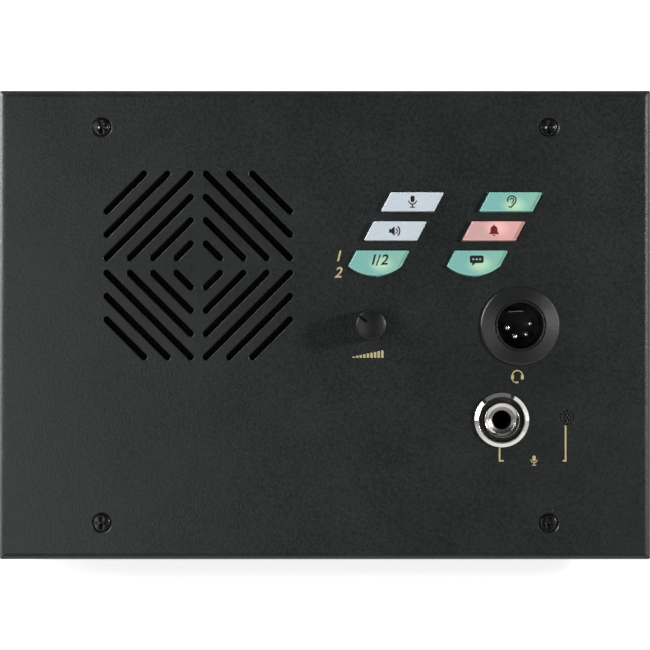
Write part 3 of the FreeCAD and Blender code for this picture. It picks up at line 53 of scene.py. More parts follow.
class Wire:
    """A socket of a node tree. Arithmetic on it adds Math nodes."""
    __add__, __radd__ = maths("ADD"), maths("ADD", True)
    __sub__, __rsub__ = maths("SUBTRACT"), maths("SUBTRACT", True)
    __mul__, __rmul__ = maths("MULTIPLY"), maths("MULTIPLY", True)
    __truediv__, __rtruediv__ = maths("DIVIDE"), maths("DIVIDE", True)
    __pow__, __rpow__ = maths("POWER"), maths("POWER", True)
    __mod__, __rmod__ = maths("FLOORED_MODULO"), maths("FLOORED_MODULO", True)
    __gt__, __lt__ = maths("GREATER_THAN"), maths("LESS_THAN")
    least, whole, size = maths("MINIMUM"), maths("FLOOR"), maths("ABSOLUTE")
    sign, sine, cosine = maths("SIGN"), maths("SINE"), maths("COSINE")

    def __init__(self, socket):
        self.socket = socket
        self.tree = socket.id_data


def node(tree, kind, settings, sockets, out=0):
    """Adds a node: its settings first, then the values or links of its sockets."""
    made = tree.nodes.new(kind)
    for setting, value in settings.items():
        setattr(made, setting, value)
    for socket, value in sockets.items():
        for one in value if isinstance(value, list) else [value]:
            if isinstance(one, Wire):
                tree.links.new(one.socket, made.inputs[socket])
            else:
                made.inputs[socket].default_value = one
    return Wire(made.outputs[out]) if made.outputs else made


def tint(share, first, second):
    """A colour between two others."""
    colours = [(*c, 1) if isinstance(c, tuple) else c for c in (first, second)]
    return node(share.tree, "ShaderNodeMix", {"data_type": "RGBA"},
                {0: share, 6: colours[0], 7: colours[1]}, 2)


def fade(value, none, full, curve="SMOOTHSTEP"):
    """A share that goes from 0 to 1 while a value goes from one bound to another."""
    return node(value.tree, "ShaderNodeMapRange", {"interpolation_type": curve},
                {"Value": value, "From Min": none, "From Max": full})


def start_finish(name, **fixed):
    """A new material with its fixed shader values. Returns it, its shader and the place on it.
    A socket is named with underscores for spaces, here and in feed."""
    material = bpy.data.materials.new(name)
    material.use_nodes = True
    shader = material.node_tree.nodes["Principled BSDF"]
    for socket, value in fixed.items():
        shader.inputs[socket.replace("_", " ")].default_value = value
    where = node(material.node_tree, "ShaderNodeTexCoord", {}, {}, "Object")
    return material, shader, where


def feed(shader, **values):
    """Links values to the shader's sockets."""
    for socket, value in values.items():
        value.tree.links.new(value.socket, shader.inputs[socket.replace("_", " ")])


def seen(tree):
    """One for the rays of the camera, of mirrors and of glass, and zero for those that light."""
    camera_ray, mirror_ray, glass_ray = (
        node(tree, "ShaderNodeLightPath", {}, {}, f"Is {kind} Ray")
        for kind in ("Camera", "Glossy", "Transmission"))
    return camera_ray + mirror_ray + glass_ray


def new_object(name, data):
    """A new object in the scene."""
    item = bpy.data.objects.new(name, data)
    bpy.context.scene.collection.objects.link(item)
    return item


# The panel's frame, in millimetres: X across to the right, Y up the slope and Z out of its face.
# Where it lies follows from the sizes of the folded case.
panel_width, panel_length, panel_wall, panel_lean = 227, 163.5, 2.0, math.radians(30)
front_height, wall_inset, knee_depth, bend_radius, sockets_stand = 30, 2.5, 15, 1.8, 5
rise, run = math.sin(panel_lean), math.cos(panel_lean)
panel_rear = (wall_inset * run - knee_depth * rise - sockets_stand
              - bend_radius * (run + rise - 1)) / 2
wall_rear = panel_rear + (panel_length / 2 - wall_inset) * run + knee_depth * rise
to_metres = Matrix.Scale(0.001, 4)
panel_place = (to_metres @ Matrix.Translation(
    (0, panel_rear, front_height + panel_length / 2 * rise)) @ Matrix.Rotation(panel_lean, 4, "X"))

floor_reach = 4.0
floor_mesh = bpy.data.meshes.new("table_top")
floor_mesh.from_pydata([(x * floor_reach, y * floor_reach, 0) for x, y in
                        ((-1, -1), (1, -1), (1, 1), (-1, 1))], [], [(0, 1, 2, 3)])
floor_paint, shader, where = start_finish(
    "table_top", Base_Color=(0.38, 0.38, 0.38, 1), Roughness=0.9, Specular_IOR_Level=0.1,
    Emission_Strength=1.0)
from_middle = node(where.tree, "ShaderNodeVectorMath", {"operation": "LENGTH"}, {0: where}, 1)
floor_glow = (fade(from_middle, 0.3, 1.6) * 0.15 + 0.8) * seen(where.tree)
feed(shader, Emission_Color=tint(floor_glow, (0.0, 0.0, 0.0), (1.0, 1.0, 1.0)))
floor_mesh.materials.append(floor_paint)
new_object("table_top", floor_mesh)

sky = bpy.data.worlds.new("studio")
sky.use_nodes = True
sky_way = node(sky.node_tree, "ShaderNodeTexCoord", {}, {}, "Generated")
sky_height = node(sky.node_tree, "ShaderNodeSeparateXYZ", {}, {0: sky_way}, 2)
wall_glow = tint(seen(sky.node_tree), (0.6, 0.6, 0.61), (0.98, 0.98, 0.98))
feed(sky.node_tree.nodes["Background"],
     Color=tint(fade(sky_height, 0.08, 0.45), wall_glow, (0.05, 0.05, 0.052)))
bpy.context.scene.world = sky

# Each lamp is an area lamp turned to the panel's middle: its name, its place in the panel's
# frame in millimetres, its width and height in metres, and its power.
for name, place, size, power in (
        ("key_lamp", (1130, 225, 820), (0.18, 0.18), 17.5),
        ("left_box", (-520, 250, 20), (0.44, 0.26), 8.0),
        ("left_strip", (-520, 185, 275), (0.54, 0.06), 0.6),
        ("right_box", (500, 185, 170), (0.56, 0.22), 0.47),
        ("back_box", (0, 560, 230), (0.7, 0.3), 0.13),
        ("sheen_lamp", (-470, -120, 1050), (0.8, 0.34), 3.3),
        ("pin_lamp", (450, -260, 800), (0.16, 0.16), 0.5)):
    light = bpy.data.lights.new(name, "AREA")
    light.shape = "RECTANGLE"
    light.size, light.size_y = size
    light.energy = power
    lamp = new_object(name, light)
    turn = (-Vector(place)).to_track_quat("-Z", "Y").to_matrix().to_4x4()
    lamp.location = panel_place @ Vector(place)
    lamp.rotation_euler = (Matrix.Rotation(panel_lean, 4, "X") @ turn).to_euler()
    lamp.visible_camera = False

bpy.context.scene.view_settings.view_transform = "Standard"


# The case: folded 1.5 mm sheet steel with rounded bends and lips that carry the panel.
# Its seams are welded and dressed, and the whole is powder coated in the panel's charcoal.
def smooth_mesh(name, work):
    """The mesh that mesh code has made, with smooth faces."""
    mesh = bpy.data.meshes.new(name)
    work.to_mesh(mesh)
    work.free()
    for face in mesh.polygons:
        face.use_smooth = True
    return mesh


def settled(name, piece):
    """A plain mesh object from a piece and its modifiers, which it takes the place of."""
    graph = bpy.context.evaluated_depsgraph_get()
    mesh = bpy.data.meshes.new_from_object(piece.evaluated_get(graph))
    bpy.data.objects.remove(piece)
    return new_object(name, mesh)


def bevelled(piece, width, angle=30, steps=2):
    """Rounds the edges of a piece that are sharper than an angle in degrees."""
    edge = piece.modifiers.new("edge", "BEVEL")
    edge.width = width
    edge.segments = steps
    edge.limit_method = "ANGLE"
    edge.angle_limit = math.radians(angle)


def softened(name, solid, width, steps=2):
    """A solid of the frame with its sharp edges rounded to a width in millimetres."""
    work = bmesh.new()
    work.from_mesh(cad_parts[solid].data)
    bmesh.ops.remove_doubles(work, verts=work.verts, dist=2e-6)
    bmesh.ops.dissolve_limit(work, angle_limit=math.radians(0.6), verts=work.verts,
                             edges=work.edges)
    draft = new_object(name + "_draft", smooth_mesh(name, work))
    bevelled(draft, width / 1000, steps=steps)
    return settled(name, draft)


def dressed(piece, material, solids=(), body="station"):
    """Gives a finished piece its material, its body and the solids that it stands for.
    The shading is weighted by area first, so that flat faces look flat beside round edges."""
    even = piece.modifiers.new("even", "WEIGHTED_NORMAL")
    even.keep_sharp = True
    piece = settled(piece.name, piece)
    piece.data.materials.clear()
    piece.data.materials.append(material)
    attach(piece, body)
    if solids:
        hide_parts(*solids)
    return piece


def eased(name, solid, width, material, steps=2, body="station"):
    """A finished piece in the form of a solid of the frame, with soft edges."""
    return dressed(softened(name, solid, width, steps), material, [solid], body)


def relief(height, depth):
    """A bump from a height of 0 to 1, its depth in millimetres."""
    return node(height.tree, "ShaderNodeBump", {},
                {"Strength": 1.0, "Distance": depth / 1000, "Height": height})


def noise(where, size, detail=2.0, roughness=0.5):
    """Noise with features of a size in millimetres."""
    return node(where.tree, "ShaderNodeTexNoise", {},
                {"Vector": where, "Scale": 1000 / size, "Detail": detail, "Roughness": roughness})


def cells(where, scale):
    """The distance to the nearest of many scattered points."""
    return node(where.tree, "ShaderNodeTexVoronoi", {"feature": "F1"},
                {"Vector": where, "Scale": scale}, "Distance")


def on_panel(where, middle=(0, 0)):
    """Wires for across, up and out in the panel's frame, in millimetres from a place on it."""
    flat = node(where.tree, "ShaderNodeMapping", {"vector_type": "TEXTURE"},
                {"Vector": where, "Location": tuple(panel_place @ Vector((*middle, 0))),
                 "Rotation": (panel_lean, 0, 0), "Scale": (0.001, 0.001, 0.001)})
    parts = node(where.tree, "ShaderNodeSeparateXYZ", {}, {0: flat}).socket.node.outputs
    return [Wire(part) for part in parts]


def powder_coat(name, roughness, bend_roughness=0.0):
    """Charcoal powder coat: a fine pebbled skin, cloudy in gloss, with a few pale dust specks.
    It can be duller where it lies round the bends at both ends of the panel."""
    material, shader, where = start_finish(name, Specular_IOR_Level=0.33)
    charcoal, worn_charcoal = (0.0078, 0.0102, 0.0089), (0.0135, 0.0168, 0.015)
    dust = (0.16, 0.17, 0.16)
    cloud = noise(where, 26, 3.0)
    fleck = noise(where, 1.1, 2.0, 0.7)
    speck = (cells(where, 190.0) < 0.035) * (noise(where, 14, 1.0) > 0.58)
    skin = tint(fade(fleck * 0.75 + cloud * 0.25, 0.4, 0.6, "LINEAR"), charcoal, worn_charcoal)
    across, out = on_panel(where)[::2]
    bend = fade(out, -0.02, -0.2) * (across.size() > panel_width / 2 - 3.5)
    feed(shader, Base_Color=tint(speck * 0.5, skin, dust),
         Roughness=(roughness + bend * bend_roughness + (cloud - 0.5) * 0.12
                    + (fleck - 0.5) * 0.2),
         Normal=relief(noise(where, 0.75, 3.0, 0.6), 0.09))
    return material


eased("case_shell", "case", 0.25, powder_coat("case_coat", 0.42))


# Four feet: moulded rubber cones, each held by a pan head screw in its recess.
# The screws go up through the case's floor into nuts.
def filleted(corners, closed=True, steps=5):
    """Points along corners (x, y) or (x, y, radius), the last kind rounded."""
    points = []
    for place, corner in enumerate(corners):
        here = Vector(corner[:2])
        at_end = place in (0, len(corners) - 1) and not closed
        if len(corner) < 3 or not corner[2] or at_end:
            points.append(here)
            continue
        back = (Vector(corners[place - 1][:2]) - here).normalized()
        ahead = (Vector(corners[(place + 1) % len(corners)][:2]) - here).normalized()
        half = back.angle(ahead) / 2
        centre = here + (back + ahead).normalized() * (corner[2] / math.sin(half))
        start = (here + back * (corner[2] / math.tan(half)) - centre).normalized()
        stop = (here + ahead * (corner[2] / math.tan(half)) - centre).normalized()
        points += [centre + start.slerp(stop, step / steps) * corner[2]
                   for step in range(steps + 1)]
    return points


def arc(middle, radius, start, stop, steps=20):
    """Points along an arc, from one angle to another in degrees."""
    turns = [math.radians(start + (stop - start) * step / steps) for step in range(steps + 1)]
    return [(middle[0] + radius * math.cos(turn), middle[1] + radius * math.sin(turn))
            for turn in turns]


def walled(work, rings, closed=False):
    """Faces between one ring of corners and the next. A ring may be a single corner."""
    pairs = list(zip(rings, rings[1:])) + ([(rings[-1], rings[0])] if closed else [])
    for low, high in pairs:
        steps = max(len(low), len(high))
        for step in range(steps):
            after = (step + 1) % steps
            around = [low[step % len(low)], low[after % len(low)],
                      high[after % len(high)], high[step % len(high)]]
            face = list(dict.fromkeys(around))
            if len(face) > 2:
                work.faces.new(face)


def mesh_piece(name, work, place=None, sharp=35):
    """An object from mesh code in millimetres, smoothed below an angle and put in its place."""
    bmesh.ops.recalc_face_normals(work, faces=work.faces)
    mesh = smooth_mesh(name, work)
    mesh.set_sharp_from_angle(angle=math.radians(sharp))
    if place:
        mesh.transform(place)
    return new_object(name, mesh)


def turned(name, corners, place=None, closed=True, steps=64, ease=5):
    """A shape turned about Z from corners (radius, height, fillet), in millimetres."""
    work = bmesh.new()
    rings = []
    for radius, level in filleted(corners, closed, ease):
        ring = arc((0, 0), radius, 0, 360, steps)[:-1] if radius > 1e-6 else [(0, 0)]
        rings.append([work.verts.new((*point, level)) for point in ring])
    walled(work, rings, closed)
    return mesh_piece(name, work, place)


def cut_out(name, body, tool, width=0.0, angle=35):
    """A piece with a tool's form cut out of it and, where a width is given, soft edges."""
    cut = body.modifiers.new("cut", "BOOLEAN")
    cut.object = tool
    cut.solver = "EXACT"
    if width:
        bevelled(body, width, angle)
    made = settled(name, body)
    bpy.data.objects.remove(tool)
    return made


def phillips(name, head, top, span, arm, depth):
    """A turned screw with a cross recess sunk into its head, whose top lies at a given level."""
    work = bmesh.new()
    rings = []
    for level, reach, width in ((top + 0.4, span * 1.12, arm * 1.1),
                                (top, span, arm),
                                (top - depth * 0.55, span * 0.62, arm * 0.8),
                                (top - depth, span * 0.2, arm * 0.6)):
        far, near = max(reach / 2, width / 2 + 0.03), width / 2
        corners = [(far, near), (near, near), (near, far), (-near, far), (-near, near),
                   (-far, near), (-far, -near), (-near, -near), (-near, -far),
                   (near, -far), (near, -near), (far, -near)]
        rings.append([work.verts.new((x, y, level)) for x, y in corners])
    walled(work, rings)
    work.faces.new(rings[0])
    work.faces.new(rings[-1])
    cross = mesh_piece(name + "_cross", work)
    return cut_out(name, turned(name + "_head", head, closed=False, steps=48), cross, 0.07)


def start_rule(name, **inputs):
    """A Geometry Nodes tree and wires for its inputs, which are named in a list for each kind.
    It works on a geometry and has an input for the finish."""
    tree = bpy.data.node_groups.new(name, "GeometryNodeTree")
    kinds = {"Geometry": ["Geometry"], **inputs, "Material": ["Finish"]}
    for kind, titles in kinds.items():
        for title in titles:
            tree.interface.new_socket(title, in_out="INPUT", socket_type="NodeSocket" + kind)
    tree.interface.new_socket("Geometry", in_out="OUTPUT", socket_type="NodeSocketGeometry")
    start = tree.nodes.new("NodeGroupInput")
    return tree, {socket.name: Wire(socket) for socket in start.outputs if socket.name}


def shape(tree, kind, settings=None, **sockets):
    """A Geometry Nodes node, its sockets named with underscores for spaces."""
    return node(tree, "GeometryNode" + kind, settings or {},
                {socket.replace("_", " "): value for socket, value in sockets.items()})


def end_rule(tree, geometry, finish):
    """Ends a tree: its copies are made real and get their material."""
    whole = shape(tree, "RealizeInstances", Geometry=geometry)
    node(tree, "NodeGroupOutput", {}, {
        0: shape(tree, "SetMaterial", Geometry=whole, Material=finish)})
    return tree


def vector(tree, **parts):
    """A vector from its X, Y and Z, each zero unless it is given."""
    return node(tree, "ShaderNodeCombineXYZ", {}, parts)


def scaled(wire, size):
    """A vector times a number."""
    return node(wire.tree, "ShaderNodeVectorMath", {"operation": "SCALE"},
                {0: wire, "Scale": size})


def added(first, second):
    """Two vectors together."""
    return node(first.tree, "ShaderNodeVectorMath", {"operation": "ADD"}, {0: first, 1: second})


def corners_tree(name):
    """Geometry nodes that set a piece at the corners of a rectangle."""
    tree, given = start_rule(name, Vector=["Across", "Along", "Middle"])
    order = shape(tree, "InputIndex")
    spot = given["Middle"]
    for size, step in (("Across", order % 2.0), ("Along", (order / 2.0).whole())):
        spot = added(spot, scaled(given[size], step - 0.5))
    points = shape(tree, "Points", Count=4, Position=spot)
    pieces = shape(tree, "InstanceOnPoints", Points=points, Instance=given["Geometry"])
    return end_rule(tree, pieces, given["Finish"])


def grown(name, piece, tree, place=None, **values):
    """The plain mesh that a tree makes of a piece. Its inputs are named with underscores."""
    modifier = piece.modifiers.new("rule", "NODES")
    modifier.node_group = tree
    for item in tree.interface.items_tree:
        given = values.get(item.name.replace(" ", "_"))
        if item.in_out == "INPUT" and given is not None:
            modifier[item.identifier] = given
    made = settled(name, piece)
    if place:
        made.data.transform(place)
    return made


def set_of(name, piece, tree, place, material, solid, slot=None, **values):
    """A finished set of like pieces, which a tree makes of one."""
    made = grown(name, piece, tree, place, Finish=material, **values)
    dressed(made, material, [solid])


def paler(colour, lift, share):
    """A colour made paler: a share of it, and a lift that all its parts get."""
    return tuple(lift + share * part for part in colour)


def rubber(name, colour):
    """Moulded rubber: dull, with a faint mould bloom and fine grain."""
    material, shader, where = start_finish(name, Specular_IOR_Level=0.35)
    bloom = noise(where, 5, 3.0)
    feed(shader, Base_Color=tint(bloom * 0.8, colour, paler(colour, 0.03, 1.3)),
         Roughness=0.66 + (bloom - 0.5) * 0.2, Normal=relief(noise(where, 0.35), 0.02))
    return material


def steel(name, colour, roughness, streak=0.0, dull=(0.2, 0.2, 0.2)):
    """Plated steel: a cloudy, lightly handled metal, with drawn lines where streak is set."""
    material, shader, where = start_finish(name, Metallic=1.0)
    cloud = noise(where, 4, 4.0)
    lines = node(where.tree, "ShaderNodeMapping", {"vector_type": "TEXTURE"},
                 {"Vector": where, "Rotation": (panel_lean, 0, 0), "Scale": (1, 1, 14)})
    drawn = noise(lines, 0.25)
    feed(shader, Base_Color=tint(cloud * 0.5, colour, dull),
         Roughness=roughness + (cloud - 0.5) * 0.16 + (drawn - 0.5) * streak,
         Normal=relief(drawn, 0.0015 + streak * 0.03))
    return material


at_corners = corners_tree("at_corners")
foot_rubber = rubber("foot_rubber", (0.018, 0.018, 0.018))
zinc_steel = steel("zinc_steel", (0.62, 0.63, 0.64), 0.34)
feet_across, feet_along, feet_middle, foot_recess = (190, 0, 0), (0, 97.61, 0), 5.83, 3.2
foot_shape = turned("foot_shape", [
    (1.6, 5), (1.6, foot_recess), (3.3, foot_recess), (3.3, 0, 0.4), (7, 0, 0.9),
    (7.85, 4.4, 0.5), (8, 5)])
set_of("rubber_feet", foot_shape, at_corners, to_metres, foot_rubber, "feet", "black_rubber",
       Across=feet_across, Along=feet_along, Middle=(0, feet_middle, 0))

foot_screw = phillips("foot_screw", [
    (0, 2), (1.6, 1.85), (2.6, 1.35), (3, 0.7, 0.3), (3, 0), (1.45, 0), (1.45, -6.7), (0, -6.7)],
    top=2, span=3.1, arm=0.8, depth=1.2)
foot_screw.data.transform(Matrix.Rotation(math.pi, 4, "X"))
set_of("foot_screw_set", foot_screw, at_corners, to_metres, zinc_steel, "foot_screws",
       Across=feet_across, Along=feet_along, Middle=(0, feet_middle, foot_recess))
eased("foot_nut_set", "foot_nuts", 0.15, zinc_steel)


# Two cable sockets in the rear wall: die cast shells with a flat flange, on two screws each.
# The line input's core has three contacts and a release tab; the line output has three pins.
rear_place = Matrix(((-0.001, 0, 0, 0), (0, 0, 0.001, wall_rear / 1000), (0, 0.001, 0, 0),
                     (0, 0, 0, 1)))
line_across, line_up, line_flange, line_screws_apart = 26, 44, 2.6, (19, 24, 0)


def moulding(name, colour, grain_depth=0.012, specular=0.35):
    """Moulded plastic: satin, with a fine spark grain and a faint change of gloss."""
    material, shader, where = start_finish(name, Specular_IOR_Level=specular)
    grain = noise(where, 0.3)
    flow = noise(where, 11)
    feed(shader, Base_Color=tint(flow, colour, paler(colour, 0.0015, 1.3)),
         Roughness=0.38 + (flow - 0.5) * 0.12 + (grain - 0.5) * 0.06,
         Normal=relief(grain, grain_depth))
    return material


socket_black = moulding("socket_black", (0.009, 0.009, 0.0097), 0.02)
moulding_black = moulding("moulding_black", (0.008, 0.008, 0.0088))
contact_silver = steel("contact_silver", (0.86, 0.86, 0.84), 0.28, 0.0, (0.6, 0.58, 0.54))
black_screw = steel("black_screw", (0.038, 0.038, 0.039), 0.29, 0.0, (0.022, 0.022, 0.023))

for shell in ("line_in_shell", "line_out_shell"):
    eased(shell + "_cast", shell, 0.3, socket_black)
eased("line_in_middle", "line_in_core", 0.3, moulding_black)
eased("line_out_middle", "line_out_carrier", 0.15, moulding_black)
eased("release_tab", "line_in_latch", 0.3, socket_black, steps=3, body="line_release")


def circle_tree(name):
    """Geometry nodes that set a piece on part of a circle, step by step."""
    tree, given = start_rule(name, Int=["Count"], Float=["Radius", "First", "Step"],
                             Vector=["Middle"])
    angle = (given["First"] + given["Step"] * shape(tree, "InputIndex")) * math.radians(1)
    arm = vector(tree, X=angle.cosine() * given["Radius"], Y=angle.sine() * given["Radius"])
    points = shape(tree, "Points", Count=given["Count"], Position=added(arm, given["Middle"]))
    pieces = shape(tree, "InstanceOnPoints", Points=points, Instance=given["Geometry"],
                   Rotation=vector(tree, Z=angle))
    return end_rule(tree, pieces, given["Finish"])


on_circle = circle_tree("on_circle")
line_pin = turned("line_pin", [(0, -3), (1.2, -3, 0.7), (1.2, -24), (0, -24)], closed=False,
                  steps=32)
set_of("line_output_pins", line_pin, on_circle, rear_place, contact_silver, "line_out_pins",
       Count=3, Radius=4.0, First=180.0, Step=90.0,
       Middle=(-line_across, line_up, line_flange))

line_screw = phillips("line_screw", [
    (0, 1.6), (1.5, 1.5), (2.4, 1.1), (2.8, 0.55, 0.3), (2.8, 0), (1.5, 0), (1.5, -7), (0, -7)],
    top=1.6, span=3.1, arm=0.8, depth=1.1)
set_of("socket_screws", line_screw, at_corners, rear_place, black_screw, "line_screws",
       Across=line_screws_apart, Along=(2 * line_across, 0, 0),
       Middle=(0, line_up, line_flange))


# The control panel: 2 mm sheet, punched, then folded down on four sides and powder coated.
# The speaker grille is 24 slots in a diamond, four lots of six, that grow out from the middle.
key_half, key_top, key_slant = 9.25, 3.325, math.radians(28)
key_side, key_sag, key_play = 2.075, 3.36, 0.35
key_windows = [("mic_key", 0, 0), ("speaker_key", 0, 1), ("channel_key", 0, 2),
               ("listen_key", 1, 0), ("call_key", 1, 1), ("talk_key", 1, 2)]
first_key, key_column, key_row, key_step = (30.35, 42.7), 34.2, 10.1, 5.95
key_places = {name: (first_key[0] + key_column * column - key_step * row,
                     first_key[1] - key_row * row) for name, column, row in key_windows}
speaker_middle, volume_middle, microphone_middle = (-44.1, 20.75), (15.8, 0.1), (84.1, -32.2)
headset_middle, jack_middle = (67.8, -0.2), (61.4, -33)
screws_across, screws_along = (panel_width - 2 * 35.75, 0, 0), (0, panel_length - 2 * 12.9, 0)
fold, flange, seam, corner_gap, rim, sound_rim = 2.4, 12, 0.42, 0.22, 0.3, 0.09


def key_bow(grow):
    """Middle and radius of the arc along the lower edge of a bowed key, grown all round."""
    half, sag = key_half + grow / math.cos(key_slant), key_sag + grow
    radius = (half * half + sag * sag) / (2 * sag)
    return (-key_side * math.tan(key_slant), radius - sag - key_side), radius


def key_outline(bowed, grow=0.0, fillet=0.0, middle=(0, 0)):
    """Corners of a key, grown all round: a leaning box, or one with a bowed lower edge."""
    lean = math.tan(key_slant)
    half = key_half + grow / math.cos(key_slant)
    top = key_top + grow
    low = key_side if bowed else top
    bow = []
    if bowed:
        bow_middle, radius = key_bow(grow)
        swing = math.degrees(math.asin(half / radius)) * 11 / 12
        bow = arc(bow_middle, radius, 270 - swing, 270 + swing, 22)
    corners = [(-half - low * lean, -low, fillet), *bow, (half - low * lean, -low, fillet),
               (half + top * lean, top, fillet), (-half + top * lean, top, fillet)]
    return [Vector((point.x + middle[0], point.y + middle[1]))
            for point in filleted(corners, steps=4)]


def curve_of(name, lines, closed=True, dimensions="3D"):
    """A curve of straight runs through points in millimetres."""
    curve = bpy.data.curves.new(name, "CURVE")
    curve.dimensions = dimensions
    for points in lines:
        spline = curve.splines.new("POLY")
        spline.points.add(len(points) - 1)
        for place, point in zip(spline.points, points):
            place.co = (point[0], point[1], 0, 1)
        spline.use_cyclic_u = closed
    return curve


def line_object(name, lines, closed=True):
    """A curve of straight runs as an object."""
    return new_object(name, curve_of(name, lines, closed))


def punched_tree(name):
    """Geometry nodes for the panel's face: grille, sound holes, screw holes and rims."""
    tree, given = start_rule(
        name,
        Float=["Wall", "Slot Width", "First Line", "Line Pitch", "Middle Gap", "Slot Reach",
               "Sound Hole", "Sound Ring", "Screw Hole", "Rim", "Sound Rim", "Sink"],
        Vector=["Grille Middle", "Sound Middle", "Screws Across", "Screws Along"],
        Object=["Front Edge", "Back Edge", "Rim Shape", "Sound Rim Shape", "Sink Shape"])

    def compass(angle, reach):
        return vector(tree, X=angle.cosine() * reach, Y=angle.sine() * reach)

    def noted(geometry, name, value):
        return shape(tree, "StoreNamedAttribute", {"data_type": "FLOAT", "domain": "POINT"},
                     Geometry=geometry, Name=name, Value=value)

    def note(name):
        return shape(tree, "InputNamedAttribute", {"data_type": "FLOAT"}, Name=name)

    def circle(radius, steps):
        return shape(tree, "CurvePrimitiveCircle", {"mode": "RADIUS"}, Resolution=steps,
                     Radius=radius)

    def holes(count, place, radius, steps):
        spots = shape(tree, "Points", Count=count, Position=place)
        rings = shape(tree, "InstanceOnPoints", Points=spots, Instance=circle(radius, steps))
        return shape(tree, "RealizeInstances", Geometry=rings)

    def outline(title):
        return node(tree, "GeometryNodeObjectInfo", {}, {"Object": given[title]}, 4)

    order = shape(tree, "InputIndex")

    # Six slots in each quarter, each a circle whose halves are pulled apart along the slot
    quarters, end_steps, diagonal = 4.0, 28, math.sqrt(0.5)
    reach = given["First Line"] + given["Line Pitch"] * (order / quarters).whole()
    far = (reach - given["Middle Gap"]).least(given["Slot Reach"])
    angle = (order % quarters) * (math.pi / 2) + math.pi / 4
    way = angle + math.pi / 2
    spots = shape(tree, "Points", Count=24, Position=added(
        compass(angle, reach * diagonal), given["Grille Middle"]))
    spots = noted(noted(spots, "half", (far * 2.0 - reach) * diagonal), "turn", way)
    end = shape(tree, "Transform", Geometry=circle(given["Slot Width"] * 0.5, end_steps),
                Rotation=(0, 0, math.pi / end_steps))
    across = node(tree, "ShaderNodeSeparateXYZ", {}, {0: shape(tree, "InputPosition")})
    slots = shape(tree, "RealizeInstances", Geometry=shape(
        tree, "InstanceOnPoints", Points=spots, Instance=noted(end, "side", across.sign()),
        Rotation=vector(tree, Z=way)))
    slots = shape(tree, "SetPosition", Geometry=slots, Offset=scaled(
        compass(note("turn"), 1.0), note("side") * note("half")))

    # One sound hole, a ring of six and a ring of twelve
    ring = (order > 0.5) + (order > 6.5)
    spread = (order - (ring * 6.0 - 5.0)) * (2 * math.pi) / (ring * 6.0)
    sounds = holes(19, added(compass(spread, ring * given["Sound Ring"]), given["Sound Middle"]),
                   given["Sound Hole"] * 0.5, 16)
    screws = holes(4, added(scaled(given["Screws Across"], order % 2.0 - 0.5),
                            scaled(given["Screws Along"], (order / 2.0).whole() - 0.5)),
                   given["Screw Hole"], 48)

    # Each hole gets a wall with its rims, and both faces are filled up to the rims
    fronts, backs, skins = [], [], []
    slots_and_openings = shape(tree, "JoinGeometry", Geometry=[slots, given["Geometry"]])
    for lines, profile, front, back in (
            (slots_and_openings, "Rim Shape", given["Rim"], given["Rim"]),
            (sounds, "Sound Rim Shape", given["Sound Rim"], given["Sound Rim"]),
            (screws, "Sink Shape", given["Sink"], 0.0)):
        lines = shape(tree, "SetCurveNormal", {"mode": "Z_UP"}, Curve=lines)
        skins.append(shape(tree, "CurveToMesh", Curve=lines, Profile_Curve=outline(profile)))
        out = shape(tree, "InputNormal")
        for edges, width in ((fronts, front), (backs, back)):
            edges.append(shape(tree, "SetPosition", Geometry=lines, Offset=scaled(out, width)))
    for title, edges, level in (("Front Edge", fronts, 0.0), ("Back Edge", backs, -1.0)):
        edges.append(outline(title))
        flat = shape(tree, "FillCurve", {"mode": "TRIANGLES"},
                     Curve=shape(tree, "JoinGeometry", Geometry=edges))
        skins.append(shape(tree, "Transform", Geometry=flat,
                           Translation=vector(tree, Z=given["Wall"] * level)))
    return end_rule(tree, shape(tree, "JoinGeometry", Geometry=skins), given["Finish"])


def rim_shape(name, rim):
    """Section of a hole's wall with a rounded rim at both faces: out from the hole, and down."""
    return line_object(name, [arc((rim, rim), rim, 270, 180, 4)
                              + arc((rim, panel_wall - rim), rim, 180, 90, 4)], closed=False)


def fold_ring(inset, groove):
    """The panel's edge moved in by an inset, with a seam cut into each corner."""
    across, along = panel_width / 2 - inset, panel_length / 2 - inset
    points = []
    for x, y in ((1, -1), (1, 1), (-1, 1), (-1, -1)):
        ends = [(x * (across - corner_gap), y * along), (x * across, y * (along - corner_gap))]
        if x == y:
            ends.reverse()
        points += [ends[0], (x * (across - groove), y * (along - groove)), ends[1]]
    return points


openings = [key_outline(row == 2, key_play, 0.45, key_places[name])
            for name, column, row in key_windows]
openings += [arc(middle, radius, 0, 360, steps)[:-1] for middle, radius, steps in (
    (volume_middle, 3.6, 64), (headset_middle, 9.85, 96), (jack_middle, 8.75, 96))]
screw_hole = 1.9
helpers = [line_object("front_edge", [fold_ring(fold, 0)]),
           line_object("back_edge", [fold_ring(panel_wall, 0)]),
           rim_shape("rim_shape", rim), rim_shape("sound_rim", sound_rim),
           line_object("sink_shape", [[(screw_hole, 0), (0.03, 1.87), (0, 1.9), (0, panel_wall)]],
                       closed=False)]
punched = grown("punched", line_object("punched_lines", openings), punched_tree("punched_face"),
                Wall=panel_wall, Slot_Width=2.3, First_Line=10.2, Line_Pitch=8.1,
                Middle_Gap=2.65, Slot_Reach=31.85, Sound_Hole=0.65, Sound_Ring=1.15,
                Screw_Hole=screw_hole, Rim=rim, Sound_Rim=sound_rim, Sink=screw_hole,
                Grille_Middle=(*speaker_middle, 0), Sound_Middle=(*microphone_middle, 0),
                Screws_Across=screws_across, Screws_Along=screws_along,
                Front_Edge=helpers[0], Back_Edge=helpers[1], Rim_Shape=helpers[2],
                Sound_Rim_Shape=helpers[3], Sink_Shape=helpers[4])

